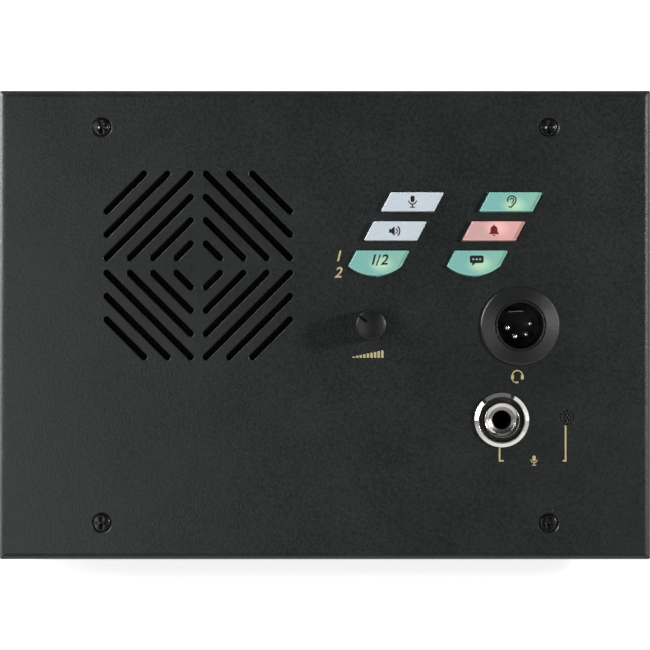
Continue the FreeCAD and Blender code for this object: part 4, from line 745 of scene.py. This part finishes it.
edge_work = bmesh.new()
edge_work.from_mesh(punched.data)
edge_levels = [(fold * (1 - math.sin(turn)), fold * (math.cos(turn) - 1), seam * math.sin(turn))
               for turn in [math.radians(15 * step) for step in range(7)]]
edge_levels += [(0, 0.2 - flange, seam), (0.06, 0.06 - flange, seam), (0.2, -flange, 0.4),
                (1.85, -flange, 0), (panel_wall, 0.15 - flange, 0), (panel_wall, -panel_wall, 0)]
walled(edge_work, [[edge_work.verts.new((*point, level)) for point in fold_ring(inset, groove)]
                   for inset, level, groove in edge_levels])
bmesh.ops.remove_doubles(edge_work, verts=edge_work.verts, dist=0.003)
panel = mesh_piece("control_panel", edge_work)
for face in panel.data.polygons:
    face.use_smooth = abs(face.normal.z) < 0.9999
panel.data.transform(panel_place)
for helper in [punched, *helpers]:
    bpy.data.objects.remove(helper)
dressed(panel, powder_coat("panel_coat", 0.345, 0.12), ["front_panel"])
eased("panel_nut_set", "panel_nuts", 0.2, zinc_steel)


# The loudspeaker behind the grille: a thin black cloth and a foam ring against the panel, then a
# pressed steel basket on four welded studs, a paper cone with a rolled edge, and a ring magnet.
speaker_place = panel_place @ Matrix.Translation((*speaker_middle, 0))
cloth_radius, cloth_level, cloth_wave = 41.2, -2.32, 0.12


def woven(name, colour, thread):
    """Thin plain weave: threads over and under each other, in the panel's own directions."""
    material, shader, where = start_finish(name, Specular_IOR_Level=0.06)
    across, up = on_panel(where)[:2]
    weft, warp = (across * (math.pi / thread)).sine(), (up * (math.pi / thread)).sine()
    height = (weft * warp) * 0.5 + 0.5
    lint = noise(where, 1.2, 3.0)
    feed(shader, Base_Color=tint(height * lint, colour, paler(colour, 0.002, 2.0)),
         Roughness=0.82 + lint * 0.12, Normal=relief(height, 0.12))
    return material


def two_tone(shader, share, first, second, roughness, change, depth):
    """Gives a finish two colours. Their share changes the roughness too and stands up in relief."""
    feed(shader, Base_Color=tint(share, first, second), Roughness=roughness + share * change,
         Normal=relief(share, depth))


cloth_work = bmesh.new()
cloth_rings = []
for radius in [step * cloth_radius / 24 for step in range(25)]:
    ring = arc((0, 0), radius, 0, 360, 96)[:-1] if radius else [(0, 0)]
    wave = cloth_wave * math.cos(radius / cloth_radius * math.pi / 2)
    cloth_rings.append([cloth_work.verts.new((
        *point, cloth_level - wave * math.sin(radius * 0.21 + place * 0.26)))
        for place, point in enumerate(ring)])
walled(cloth_work, cloth_rings)
# The cloth is black, and painted darker still with the shade that lies in the grille's slots.
cloth = dressed(mesh_piece("speaker_cloth", cloth_work, speaker_place, 60),
                woven("black_cloth", (0.0016, 0.0016, 0.0017), 0.5), ["grille_cloth"])

grey_foam, shader, where = start_finish("grey_foam")
two_tone(shader, cells(where, 2200.0), (0.05, 0.05, 0.052), (0.13, 0.13, 0.135), 0.8, 0.15, 0.15)
gasket = turned("foam_ring", [
    (38.8, -2.6, 0.3), (cloth_radius, -2.6, 0.3), (cloth_radius, -4.1, 0.3), (38.8, -4.1, 0.3)],
    speaker_place, steps=96)
gasket = dressed(gasket, grey_foam, ["speaker_gasket"])

paper_thick, neck, bowl_width, bowl_bottom, bowl_rise = 0.6, 11, 19.5, -15.1, 11.6
roll_middle, roll_half, roll_level, roll_rise, cone_reach = 33, 2.5, -3.5, 1.6, 38.4
dome_reach, dome_rise, dome_level = 13, 3.6, -13.81
cone_paper, shader, where = start_finish("cone_paper")
two_tone(shader, noise(where, 1.4, 5.0, 0.7), (0.028, 0.027, 0.026), (0.075, 0.072, 0.068),
         0.75, 0.2, 0.06)
bowl = [(neck + bowl_width * share, bowl_bottom + bowl_rise * share ** 0.8)
        for share in [step / 10 for step in range(11)]]
roll = [(roll_middle - roll_half * math.cos(turn), roll_level - roll_rise * math.sin(turn))
        for turn in [math.pi * step / 10 for step in range(1, 11)]]
face_line = bowl + roll + [(cone_reach, roll_level)]
cone = turned("paper_cone", face_line + [(x, y - paper_thick) for x, y in reversed(face_line)],
              speaker_place, steps=96)
dressed(cone, cone_paper, ["speaker_cone"])
dome = [(dome_reach * math.sin(turn), dome_level + dome_rise * math.cos(turn))
        for turn in [math.pi / 2 * step / 12 for step in range(13)]]
cap = turned("paper_dome", [(x, y + paper_thick) for x, y in dome] + list(reversed(dome)),
             speaker_place, closed=False)
dressed(cap, cone_paper, ["dust_cap"])

for name, solid, width in (("speaker_basket", "speaker_frame", 0.25),
                           ("magnet_front", "front_plate", 0.25),
                           ("magnet_pole", "pole_piece", 0.25),
                           ("stud_nuts", "speaker_nuts", 0.12)):
    eased(name, solid, width, zinc_steel)

ferrite, shader, where = start_finish("ferrite", Specular_IOR_Level=0.4)
two_tone(shader, noise(where, 0.8, 4.0), (0.03, 0.029, 0.029), (0.07, 0.068, 0.067),
         0.55, 0.2, 0.05)
eased("ring_magnet", "speaker_magnet", 0.5, ferrite, steps=3)

copper, shader, where = start_finish("copper", Metallic=1.0)
wire_size = 0.22
# Painted shade and highlight: each turn of wire is painted lighter along its crest and darker in
# the groove between turns.
wire_turn_shade = (on_panel(where)[2] * (math.pi / wire_size)).sine()
two_tone(shader, wire_turn_shade.size(), (0.32, 0.11, 0.05), (0.85, 0.42, 0.24), 0.4, -0.12, 0.08)
eased("coil_winding", "voice_coil", 0.1, copper)


# The circuit board behind the keys: green glass board on five steel standoffs, with a square
# switch and a round lamp for each key.
board_green, shader, where = start_finish("board_green", Specular_IOR_Level=0.5)
across, up, out = on_panel(where)
tracks = node(where.tree, "ShaderNodeTexBrick", {"offset": 0.5, "squash": 1.0},
              {"Vector": vector(where.tree, X=across, Y=up, Z=out), "Scale": 0.16,
               "Mortar Size": 0.035, "Mortar Smooth": 0.1, "Brick Width": 1.3,
               "Row Height": 0.5}, "Fac")
feed(shader, Base_Color=tint(tracks, (0.008, 0.075, 0.03), (0.03, 0.16, 0.06)),
     Roughness=0.32 + noise(where, 3) * 0.12, Normal=relief(tracks, 0.04))
eased("key_board", "circuit_board", 0.15, board_green)
eased("board_posts", "board_standoffs", 0.2, zinc_steel)
eased("board_screw_set", "board_screws", 0.15, zinc_steel)
for key_name in key_places:
    switch = key_name.replace("key", "switch")
    eased(switch + "_body", switch, 0.2, moulding_black)
eased("lamp_collars", "lamp_spacers", 0.2, moulding_black)
lamp_clear, shader, where = start_finish(
    "lamp_clear", Transmission_Weight=0.35, Emission_Strength=0.6)
haze = noise(where, 1.0)
feed(shader, Base_Color=tint(haze, (0.62, 0.78, 0.52), (0.75, 0.86, 0.66)),
     Roughness=0.12 + haze * 0.1,
     Emission_Color=tint(haze, (0.42, 0.6, 0.25), (0.5, 0.7, 0.3)))
eased("lamp_lenses", "key_lamps", 0.3, lamp_clear, steps=3)


# Six keys: hollow moulded caps in leaning windows, lit from behind, their light painted into the
# plastic's colour, each on its switch's stem.
# Every cap carries a dark printed sign. The lowest two are bowed along their lower edge.
cap_stand, bowed_stand, cap_wall, cap_skirt, stem_reach = 2.0, 1.3, 1.1, 5.5, 9.9
cap_edge, flange_top, flange_low, lamp_across = 0.42, -2.3, -3.3, 1.1


def key_cap(name, bowed, middle):
    """A key's cap: a rounded top, a rim that keeps it in its window, and a stem inside."""
    stand = bowed_stand if bowed else cap_stand
    levels = [(cap_edge * (math.sin(turn) - 1), stand - cap_edge * (1 - math.cos(turn)))
              for turn in [math.pi / 2 * step / 4 for step in range(5)]]
    levels += [(0, flange_top), (1, flange_top), (1, flange_low), (0, flange_low),
               (0, -cap_skirt), (-cap_wall, -cap_skirt), (-cap_wall, stand - cap_wall)]
    work = bmesh.new()
    rings = [[work.verts.new((*point, level)) for point in
              key_outline(bowed, grow, max(0.08, 0.4 + grow * 0.6), middle)]
             for grow, level in levels]
    walled(work, rings)
    work.faces.new(rings[0])
    work.faces.new(rings[-1])
    stem_top = stand - cap_wall / 2
    stem = bmesh.ops.create_cone(work, cap_ends=True, segments=32, radius1=1.7, radius2=1.7,
                                 depth=stem_reach + stem_top)
    bmesh.ops.translate(work, verts=stem["verts"], vec=(
        middle[0] - 3.5, middle[1], (stem_top - stem_reach) / 2))
    item = mesh_piece(name, work, sharp=40)
    for face in item.data.polygons:
        face.use_smooth = abs(face.normal.z) < 0.9999
    item.data.transform(panel_place)
    return item


def lit_plastic(name, bowed, middle, colour, right_lit_colour, shaded_end_colour, lamp_glow_colour, lamp_glow_up,
                painted_glow):
    """Milky moulded plastic with light painted into its colour: a painted glow over its lamp, a
    painted highlight along the rounding of its lower edge, painted shade over the wall at its right
    end, and a right side painted a little lighter. The painted colour glows too, at a given
    strength."""
    material, shader, where = start_finish(name, Specular_IOR_Level=0.45, Emission_Strength=painted_glow)
    across, up = on_panel(where, middle)[:2]
    # Painted light: a pool of the lamp's glow, painted over the cap.
    spot = fade((((across - lamp_across) / 6.2) ** 2 + ((up - lamp_glow_up) / 4.4) ** 2) ** 0.5,
                1.0, 0.0, "SMOOTHERSTEP")
    drop = up * -1 - key_top
    if bowed:
        (bow_across, bow_up), bow_radius = key_bow(0)
        drop = ((across - bow_across) ** 2 + (up - bow_up) ** 2) ** 0.5 - bow_radius
    # Painted highlight along the rounding of the lower edge.
    edge_highlight = fade(drop, -0.75, -0.35) * 0.5
    # Painted shade over the wall at the right end.
    end = fade(across - up * math.tan(key_slant), 7.7, 8.2)
    milk = noise(where, 2.4, 3.0)
    # The glow is painted over a colour that is painted lighter towards the right, where the light
    # falls.
    body = tint(spot, tint(fade(across, -6.0, 6.0), colour, right_lit_colour), lamp_glow_colour)
    body = tint(edge_highlight, tint(end, body, shaded_end_colour), paler(right_lit_colour, 0.08, 1.1))
    # The cap's painted colour also glows, though the cap is no lamp.
    feed(shader, Base_Color=body, Emission_Color=body, Roughness=0.3 + milk * 0.1,
         Normal=relief(milk, 0.02))
    return material


# Colours of each plastic on the left, on the right, where it is painted a little lighter, in the
# painted shade at the end wall and in the glow painted over the lamp, then how far up that painted
# glow lies and how strongly the plastic's painted glow shines
key_colours = {
    "white_key": ((0.49, 0.55, 0.6), (0.5, 0.55, 0.59), (0.48, 0.53, 0.57), (0.53, 0.57, 0.6),
                  0, 0),
    "green_key": ((0.17, 0.39, 0.36), (0.2, 0.42, 0.35), (0.15, 0.31, 0.24), (0.41, 0.62, 0.43),
                  -1.3, 0.06),
    "red_key": ((0.52, 0.31, 0.3), (0.61, 0.33, 0.31), (0.4, 0.21, 0.175), (0.8, 0.45, 0.43),
                1.2, 0.06)}
key_slots = {"mic_key": "white_key", "speaker_key": "white_key", "channel_key": "green_key",
             "listen_key": "green_key", "call_key": "red_key", "talk_key": "green_key"}
for key_name, column, row in key_windows:
    slot = key_slots[key_name]
    plastic = lit_plastic(key_name + "_plastic", row == 2, key_places[key_name],
                          *key_colours[slot])
    dressed(key_cap(key_name + "_cap", row == 2, key_places[key_name]), plastic, [key_name],
            key_name.replace("key", "button"))


def ink(name, colour, roughness, fleck_colour):
    """Screen printing ink: an even film that is a little thin in places."""
    material, shader, where = start_finish(name, Specular_IOR_Level=0.3)
    thin = noise(where, 0.4, 3.0)
    feed(shader, Base_Color=tint((thin > 0.62) * 0.35, colour, fleck_colour),
         Roughness=roughness + thin * 0.1, Normal=relief(thin, 0.01))
    return material


def stroke(points, width):
    """The outline of a line of a width with round ends, drawn through points."""
    line = [Vector(point) for point in points]
    left, right = [], []
    for place, here in enumerate(line):
        back = line[max(place - 1, 0)]
        ahead = line[min(place + 1, len(line) - 1)]
        way = (ahead - back).normalized()
        side = Vector((-way.y, way.x)) * width / 2
        left.append(here + side)
        right.append(here - side)
    ends = []
    for tip, other in ((line[-1], line[-2]), (line[0], line[1])):
        angle = math.degrees(math.atan2(*(tip - other).yx))
        ends.append(arc(tip, width / 2, angle + 80, angle - 80, 8))
    return left + ends[0] + right[::-1] + ends[1]


def box(left, low, right, high, corner=0.0):
    """The outline of an upright box with rounded corners."""
    return filleted([(left, low, corner), (right, low, corner), (right, high, corner),
                     (left, high, corner)])


def numeral(text, height):
    """A plain numeral, bold and leaning, centred, as the outlines of a flat curve."""
    words = bpy.data.curves.new("numeral", "FONT")
    words.body = text
    words.size = height / 0.7
    words.shear = 0.25
    words.offset = height * 0.022
    words.align_x = "CENTER"
    words.align_y = "CENTER"
    return words


def printed(name, marks, level, material, body="station", middle=(0, 0), size=1.0,
            thick=0.03):
    """Marks printed on a face: each is a list of outlines, or a numeral, at its own place."""
    work = bmesh.new()
    for mark, x, y in marks:
        is_text = isinstance(mark, bpy.types.TextCurve)
        curve = mark if is_text else curve_of(name, mark, dimensions="2D")
        curve.fill_mode = "BOTH"
        curve.extrude = thick / 2
        flat = settled(name + "_flat", new_object(name + "_draft", curve))
        flat.data.transform(Matrix.Translation((middle[0] + x, middle[1] + y, level + thick / 2))
                            @ Matrix.Diagonal((size, size, 1, 1)))
        work.from_mesh(flat.data)
        bpy.data.objects.remove(flat)
    bmesh.ops.remove_doubles(work, verts=work.verts, dist=0.0005)
    dressed(mesh_piece(name, work, panel_place, 20), material, body=body)


mic_mark = [[stroke([(0, 0.45), (0, 1.25)], 1.15)], [stroke(arc((0, 0.45), 1.1, 190, 350), 0.32)],
            [box(-0.16, -1.45, 0.16, -0.6)], [box(-0.75, -1.7, 0.75, -1.4, 0.1)]]
speaker_mark = [[[(-1.9, -0.55), (-1.2, -0.55), (-0.3, -1.4), (-0.3, 1.4), (-1.2, 0.55),
                  (-1.9, 0.55)]],
                [stroke(arc((-0.4, 0), 0.85, -48, 48), 0.34)],
                [stroke(arc((-0.4, 0), 1.6, -50, 50), 0.34)]]
ear_mark = [[stroke(arc((0, 0.5), 1.2, 200, -42) + [(0.45, -0.75), (0.12, -1.25), (-0.3, -1.6),
                                                    (-0.75, -1.45)], 0.38)],
            [stroke(arc((0.02, 0.5), 0.52, 170, -60) + [(0.02, -0.35)], 0.3)]]
bell_mark = [[arc((0, 0.45), 0.98, 0, 180) + [(-1.02, -0.35), (-1.5, -1.0), (1.5, -1.0),
                                             (1.02, -0.35)]],
             [arc((0, -1.2), 0.38, 180, 360)], [stroke([(0, 1.3), (0, 1.65)], 0.34)]]
speech_mark = [[filleted([(-2, -0.75, 0.5), (-1.2, -0.75), (-1.45, -1.6), (-0.3, -0.75),
                          (2, -0.75, 0.5), (2, 1.45, 0.5), (-2, 1.45, 0.5)]),
                *[arc((dot, 0.35), 0.28, 0, 351, 13) for dot in (-1.0, 0, 1.0)]]]
slash_mark = [stroke([(-0.5, -1.4), (0.6, 1.5)], 0.36)]
key_ink = ink("key_ink", (0.006, 0.007, 0.009), 0.4, (0.02, 0.022, 0.024))
call_ink = ink("call_ink", (0.13, 0.006, 0.014), 0.4, (0.2, 0.02, 0.03))
key_marks = {
    "mic_key": [(mark, 0, 0) for mark in mic_mark],
    "speaker_key": [(mark, 0.1, 0) for mark in speaker_mark],
    "channel_key": [(numeral("1", 2.9), -1.9, 0), (slash_mark, 0, 0), (numeral("2", 2.9), 2.0, 0)],
    "listen_key": [(mark, 0.2, 0) for mark in ear_mark],
    "call_key": [(mark, 0, 0.1) for mark in bell_mark],
    "talk_key": [(mark, 0, -0.1) for mark in speech_mark]}
for key_name, column, row in key_windows:
    printed(key_name + "_sign", key_marks[key_name], bowed_stand if row == 2 else cap_stand,
            call_ink if key_name == "call_key" else key_ink,
            key_name.replace("key", "button"), key_places[key_name], 1.2)


# The volume control: a potentiometer under the panel, its steel shaft through a clearance hole,
# and a push-on knob of satin black plastic, domed, with a notch for its pointer.
volume_place = panel_place @ Matrix.Translation((*volume_middle, 0))
knob_top, dome_radius, pointer_angle = 15.1, 16, math.radians(144)
knob = turned("knob_draft", [(out, knob_top - dome_radius + math.sqrt(dome_radius ** 2 - out ** 2))
                             for out in (0, 0.8, 1.6, 2.4, 3.2, 3.8, 4.3)]
              + [(5.1, 14.22, 0.55), (5.35, 0.6, 0.25), (3.1, 0.6), (3.1, 12.1), (0, 12.1)],
              closed=False, steps=96, ease=8)
notch_work = bmesh.new()
bmesh.ops.create_cube(notch_work, size=1, matrix=Matrix.Diagonal((3.9, 1.05, 4.0, 1)))
upright = [edge for edge in notch_work.edges if abs(edge.verts[0].co.z - edge.verts[1].co.z) > 1]
bmesh.ops.bevel(notch_work, geom=upright, offset=0.15, segments=3, affect="EDGES")
notch = mesh_piece("notch", notch_work, Matrix.Rotation(pointer_angle, 4, "Z")
                   @ Matrix.Translation((3.75, 0, knob_top)))
knob = cut_out("volume_knob_cap", knob, notch, 0.09, 38)
knob.data.transform(volume_place)
dressed(knob, moulding("knob_black", (0.004, 0.0045, 0.0045), 0.03, 0.3), ["volume_knob"],
        body="volume_dial")
nickel = steel("nickel", (0.74, 0.71, 0.66), 0.24, 0.05, (0.5, 0.47, 0.42))
eased("volume_spindle", "volume_shaft", 0.2, nickel, body="volume_dial")
eased("volume_housing", "volume_control", 0.2, moulding_black)


# The headset socket: a black round shell screwed up from behind by a ring nut, with a key slot
# in its mouth, a moulded carrier, four machined pins and a sprung ground tab.
headset_place = panel_place @ Matrix.Translation((*headset_middle, 0))
headset_turn, slot_width, slot_rise, slot_depth, slot_top = 11, 2.2, 0.9, 9.4, 1.2
shell = turned("shell_draft", [
    (8.05, -17.5), (9.7, -17.5), (9.7, 0), (13.75, 0, 0.06), (13.75, 0.75, 0.25),
    (13.2, 1.2, 0.6), (8.9, 2.2, 0.12), (8.85, 1.5), (8.55, 1.5), (8.55, 2.1, 0.15),
    (8.05, 2.1, 0.15)], steps=128)
slot_work = bmesh.new()
bmesh.ops.create_cube(slot_work, size=1,
                      matrix=Matrix.Diagonal((slot_width, 2 * slot_rise, slot_depth, 1)))
key_slot = mesh_piece("keyway", slot_work, Matrix.Rotation(math.radians(headset_turn), 4, "Z")
                      @ Matrix.Translation((0, 8.05, slot_top - slot_depth / 2)))
shell = cut_out("headset_flange", shell, key_slot)
shell.data.transform(headset_place)
dressed(shell, moulding("headset_black", (0.003, 0.0035, 0.004), 0.05, 0.42), ["headset_shell"])
eased("pin_carrier", "headset_carrier", 0.2, moulding_black)
headset_pin = turned("headset_pin", [(0, -4), (1.1, -4, 1.05), (1.1, -23.5), (0, -23.5)],
                     closed=False, steps=32)
set_of("headset_pin_set", headset_pin, on_circle, headset_place, contact_silver, "headset_pins",
       Count=4, Radius=4.08, First=180.0 + headset_turn, Step=60.0, Middle=(0, 0, 0))
ground_tab = softened("ground_tab", "headset_ground_tab", 0.1)
ground_tab.data.transform(headset_place @ Matrix.Translation((-0.5, -0.25, 0))
                          @ Matrix.Rotation(math.radians(-9), 4, "Z") @ headset_place.inverted())
dressed(ground_tab, contact_silver, ["headset_ground_tab"])
eased("ring_nut", "headset_ring_nut", 0.3, nickel)


# The jack for the gooseneck microphone: a chromed collar with a thread inside for the sleeve,
# a chromed nose with a flared mouth, a moulded body behind, and a hexagon nut.
jack_place = panel_place @ Matrix.Translation((*jack_middle, 0))
thread_radius = 7.9


def chrome(name, colour, roughness):
    """Bright plate: a mirror with hair scratches, brown and dull where it is sunk in the mouth."""
    material, shader, where = start_finish(name, Metallic=1.0)
    sunk = fade(on_panel(where)[2], 1.3, 0.2)
    haze = noise(where, 3, 3.0)
    drawn_out = node(where.tree, "ShaderNodeMapping", {}, {
        "Vector": where, "Scale": (1, 9, 1), "Rotation": (0.4, 0.2, 0.5)})
    hair = noise(drawn_out, 0.9)
    bright = tint(haze, colour, tuple(0.93 * part for part in colour))
    feed(shader, Base_Color=tint(sunk, bright, (0.2, 0.18, 0.16)),
         Roughness=roughness + haze * 0.04 + (hair > 0.6) * 0.05 + sunk * 0.3,
         Normal=relief(hair, 0.0015))
    return material


bright_chrome = chrome("bright_chrome", (0.57, 0.57, 0.545), 0.05)
collar = turned("chrome_collar", [
    (thread_radius, -8), (8.6, -8), (8.6, 0), (9.5, 0, 0.08), (9.5, 1.05, 0.15),
    (8.15, 2, 0.12), (thread_radius, 1.75)], jack_place, steps=128, ease=6)
dressed(collar, bright_chrome, ["jack_collar"])


def thread_tree(name):
    """Geometry nodes for a screw thread: a ridge swept along a spiral."""
    tree, given = start_rule(name, Float=["Radius", "Turns", "Pitch", "Bottom"])
    spiral = shape(tree, "CurveSpiral", Resolution=64, Rotations=given["Turns"],
                   Start_Radius=given["Radius"], End_Radius=given["Radius"],
                   Height=given["Turns"] * given["Pitch"])
    spiral = shape(tree, "SetCurveNormal", {"mode": "Z_UP"}, Curve=spiral)
    ridge = shape(tree, "CurveToMesh", Curve=spiral, Profile_Curve=given["Geometry"],
                  Fill_Caps=True)
    lifted = shape(tree, "Transform", Geometry=ridge,
                   Translation=vector(tree, Z=given["Bottom"]))
    return end_rule(tree, lifted, given["Finish"])


ridge = line_object("ridge", [[(0.12, -0.42), (-0.34, -0.05), (-0.34, 0.05), (0.12, 0.42)]])
thread = grown("collar_thread_draft", ridge, thread_tree("screw_thread"), Radius=thread_radius,
               Turns=5.4, Pitch=1.0, Bottom=-4.2, Finish=bright_chrome)
thread_work = bmesh.new()
thread_work.from_mesh(thread.data)
bpy.data.objects.remove(thread)
dressed(mesh_piece("collar_thread", thread_work, jack_place, 30),
        chrome("dark_chrome", (0.07, 0.064, 0.058), 0.3))
nose = turned("chrome_nose", [
    (3.25, -8), (7.85, -8), (7.85, -4.5), (6.05, -4.5), (6.05, 2.6, 0.12), (4.75, 1.78, 0.1),
    (4.6, 0.9), (3.9, 0.6, 0.2), (3.25, 0.2, 0.3)], jack_place, steps=96, ease=6)
dressed(nose, bright_chrome, ["jack_nose"])
eased("jack_moulding", "jack_body", 0.25, moulding_black)
eased("jack_hex_nut", "jack_nut", 0.3, nickel)


# The panel microphone: a small nickel capsule in a rubber boot behind nineteen fine holes.
# The boot is pressed on the back of the panel.
eased("capsule_can", "mic_capsule", 0.3, nickel, steps=3)
eased("capsule_boot", "mic_boot", 0.5, foot_rubber, steps=3)


# Printing on the panel: gold screen ink, as plain signs and numbers where the words were.
# A bracket ties the jack and the small microphone to one sign.
def bracket_arm(outer, inner, foot_end, top, low=-47.5, thick=0.6):
    """Half a bracket: a line down from its top, and a foot that points to the sign."""
    return [[(outer, top), (outer, low), (foot_end, low), (foot_end, low + thick),
             (inner, low + thick), (inner, top)]]


gold_ink = ink("gold_ink", (0.44, 0.365, 0.195), 0.42, (0.3, 0.24, 0.12))
phones_mark = [[stroke(arc((0, 0), 1.75, 4, 176), 0.42)], [box(-2.2, -1.35, -1.2, 0.35, 0.35)],
               [box(1.2, -1.35, 2.2, 0.35, 0.35)],
               [stroke([(-1.75, -1.2)] + arc((-0.6, -1.2), 1.15, 190, 275, 10), 0.28)],
               [stroke([(-0.55, -2.35), (0.1, -2.35)], 0.6)]]
wedge_mark = [[box(-5.6 + 1.25 * step, -1.3, -4.75 + 1.25 * step, -0.9 + 0.27 * step)]
              for step in range(9)]
bracket_mark = [bracket_arm(60.4, 61.0, 62.1, -42.3), bracket_arm(83.95, 83.35, 82.7, -34.9)]
marks = [(mark, x, y) for shapes, x, y in (
    (bracket_mark, 0, 0), (mic_mark, 72.7, -47.2), (phones_mark, 66.9, -17.6),
    (wedge_mark, 15.1, -10.1)) for mark in shapes]
marks += [(numeral("1", 3.6), 4.5, 23.8), (numeral("2", 3.6), 4.5, 18.1)]
printed("gold_prints", marks, 0, gold_ink)


# Four black countersunk screws with cross recesses hold the panel on the case's lips.
# Their heads lie just under the face.
panel_screw = phillips("panel_screw", [
    (0, -0.05), (3.75, -0.15, 0.5), (1.75, -2.0), (1.75, -11), (0, -11)],
    top=-0.1, span=4.6, arm=1.0, depth=1.5)
set_of("panel_screw_set", panel_screw, at_corners, panel_place, black_screw, "panel_screws",
       Across=screws_across, Along=screws_along, Middle=(0, 0, 0))


# The camera looks straight down on the sloped panel, as the photograph does.
view_angle, camera_height = math.radians(18.87), 680
camera = bpy.data.cameras.new("camera")
camera.sensor_width = 36
camera.lens = camera.sensor_width / (2 * math.tan(view_angle / 2))
camera.clip_start, camera.clip_end = 0.01, 20
viewer = new_object("camera", camera)
viewer.location = panel_place @ Vector((0, 0, camera_height))
viewer.rotation_euler = (panel_lean, 0, 0)
bpy.context.scene.camera = viewer
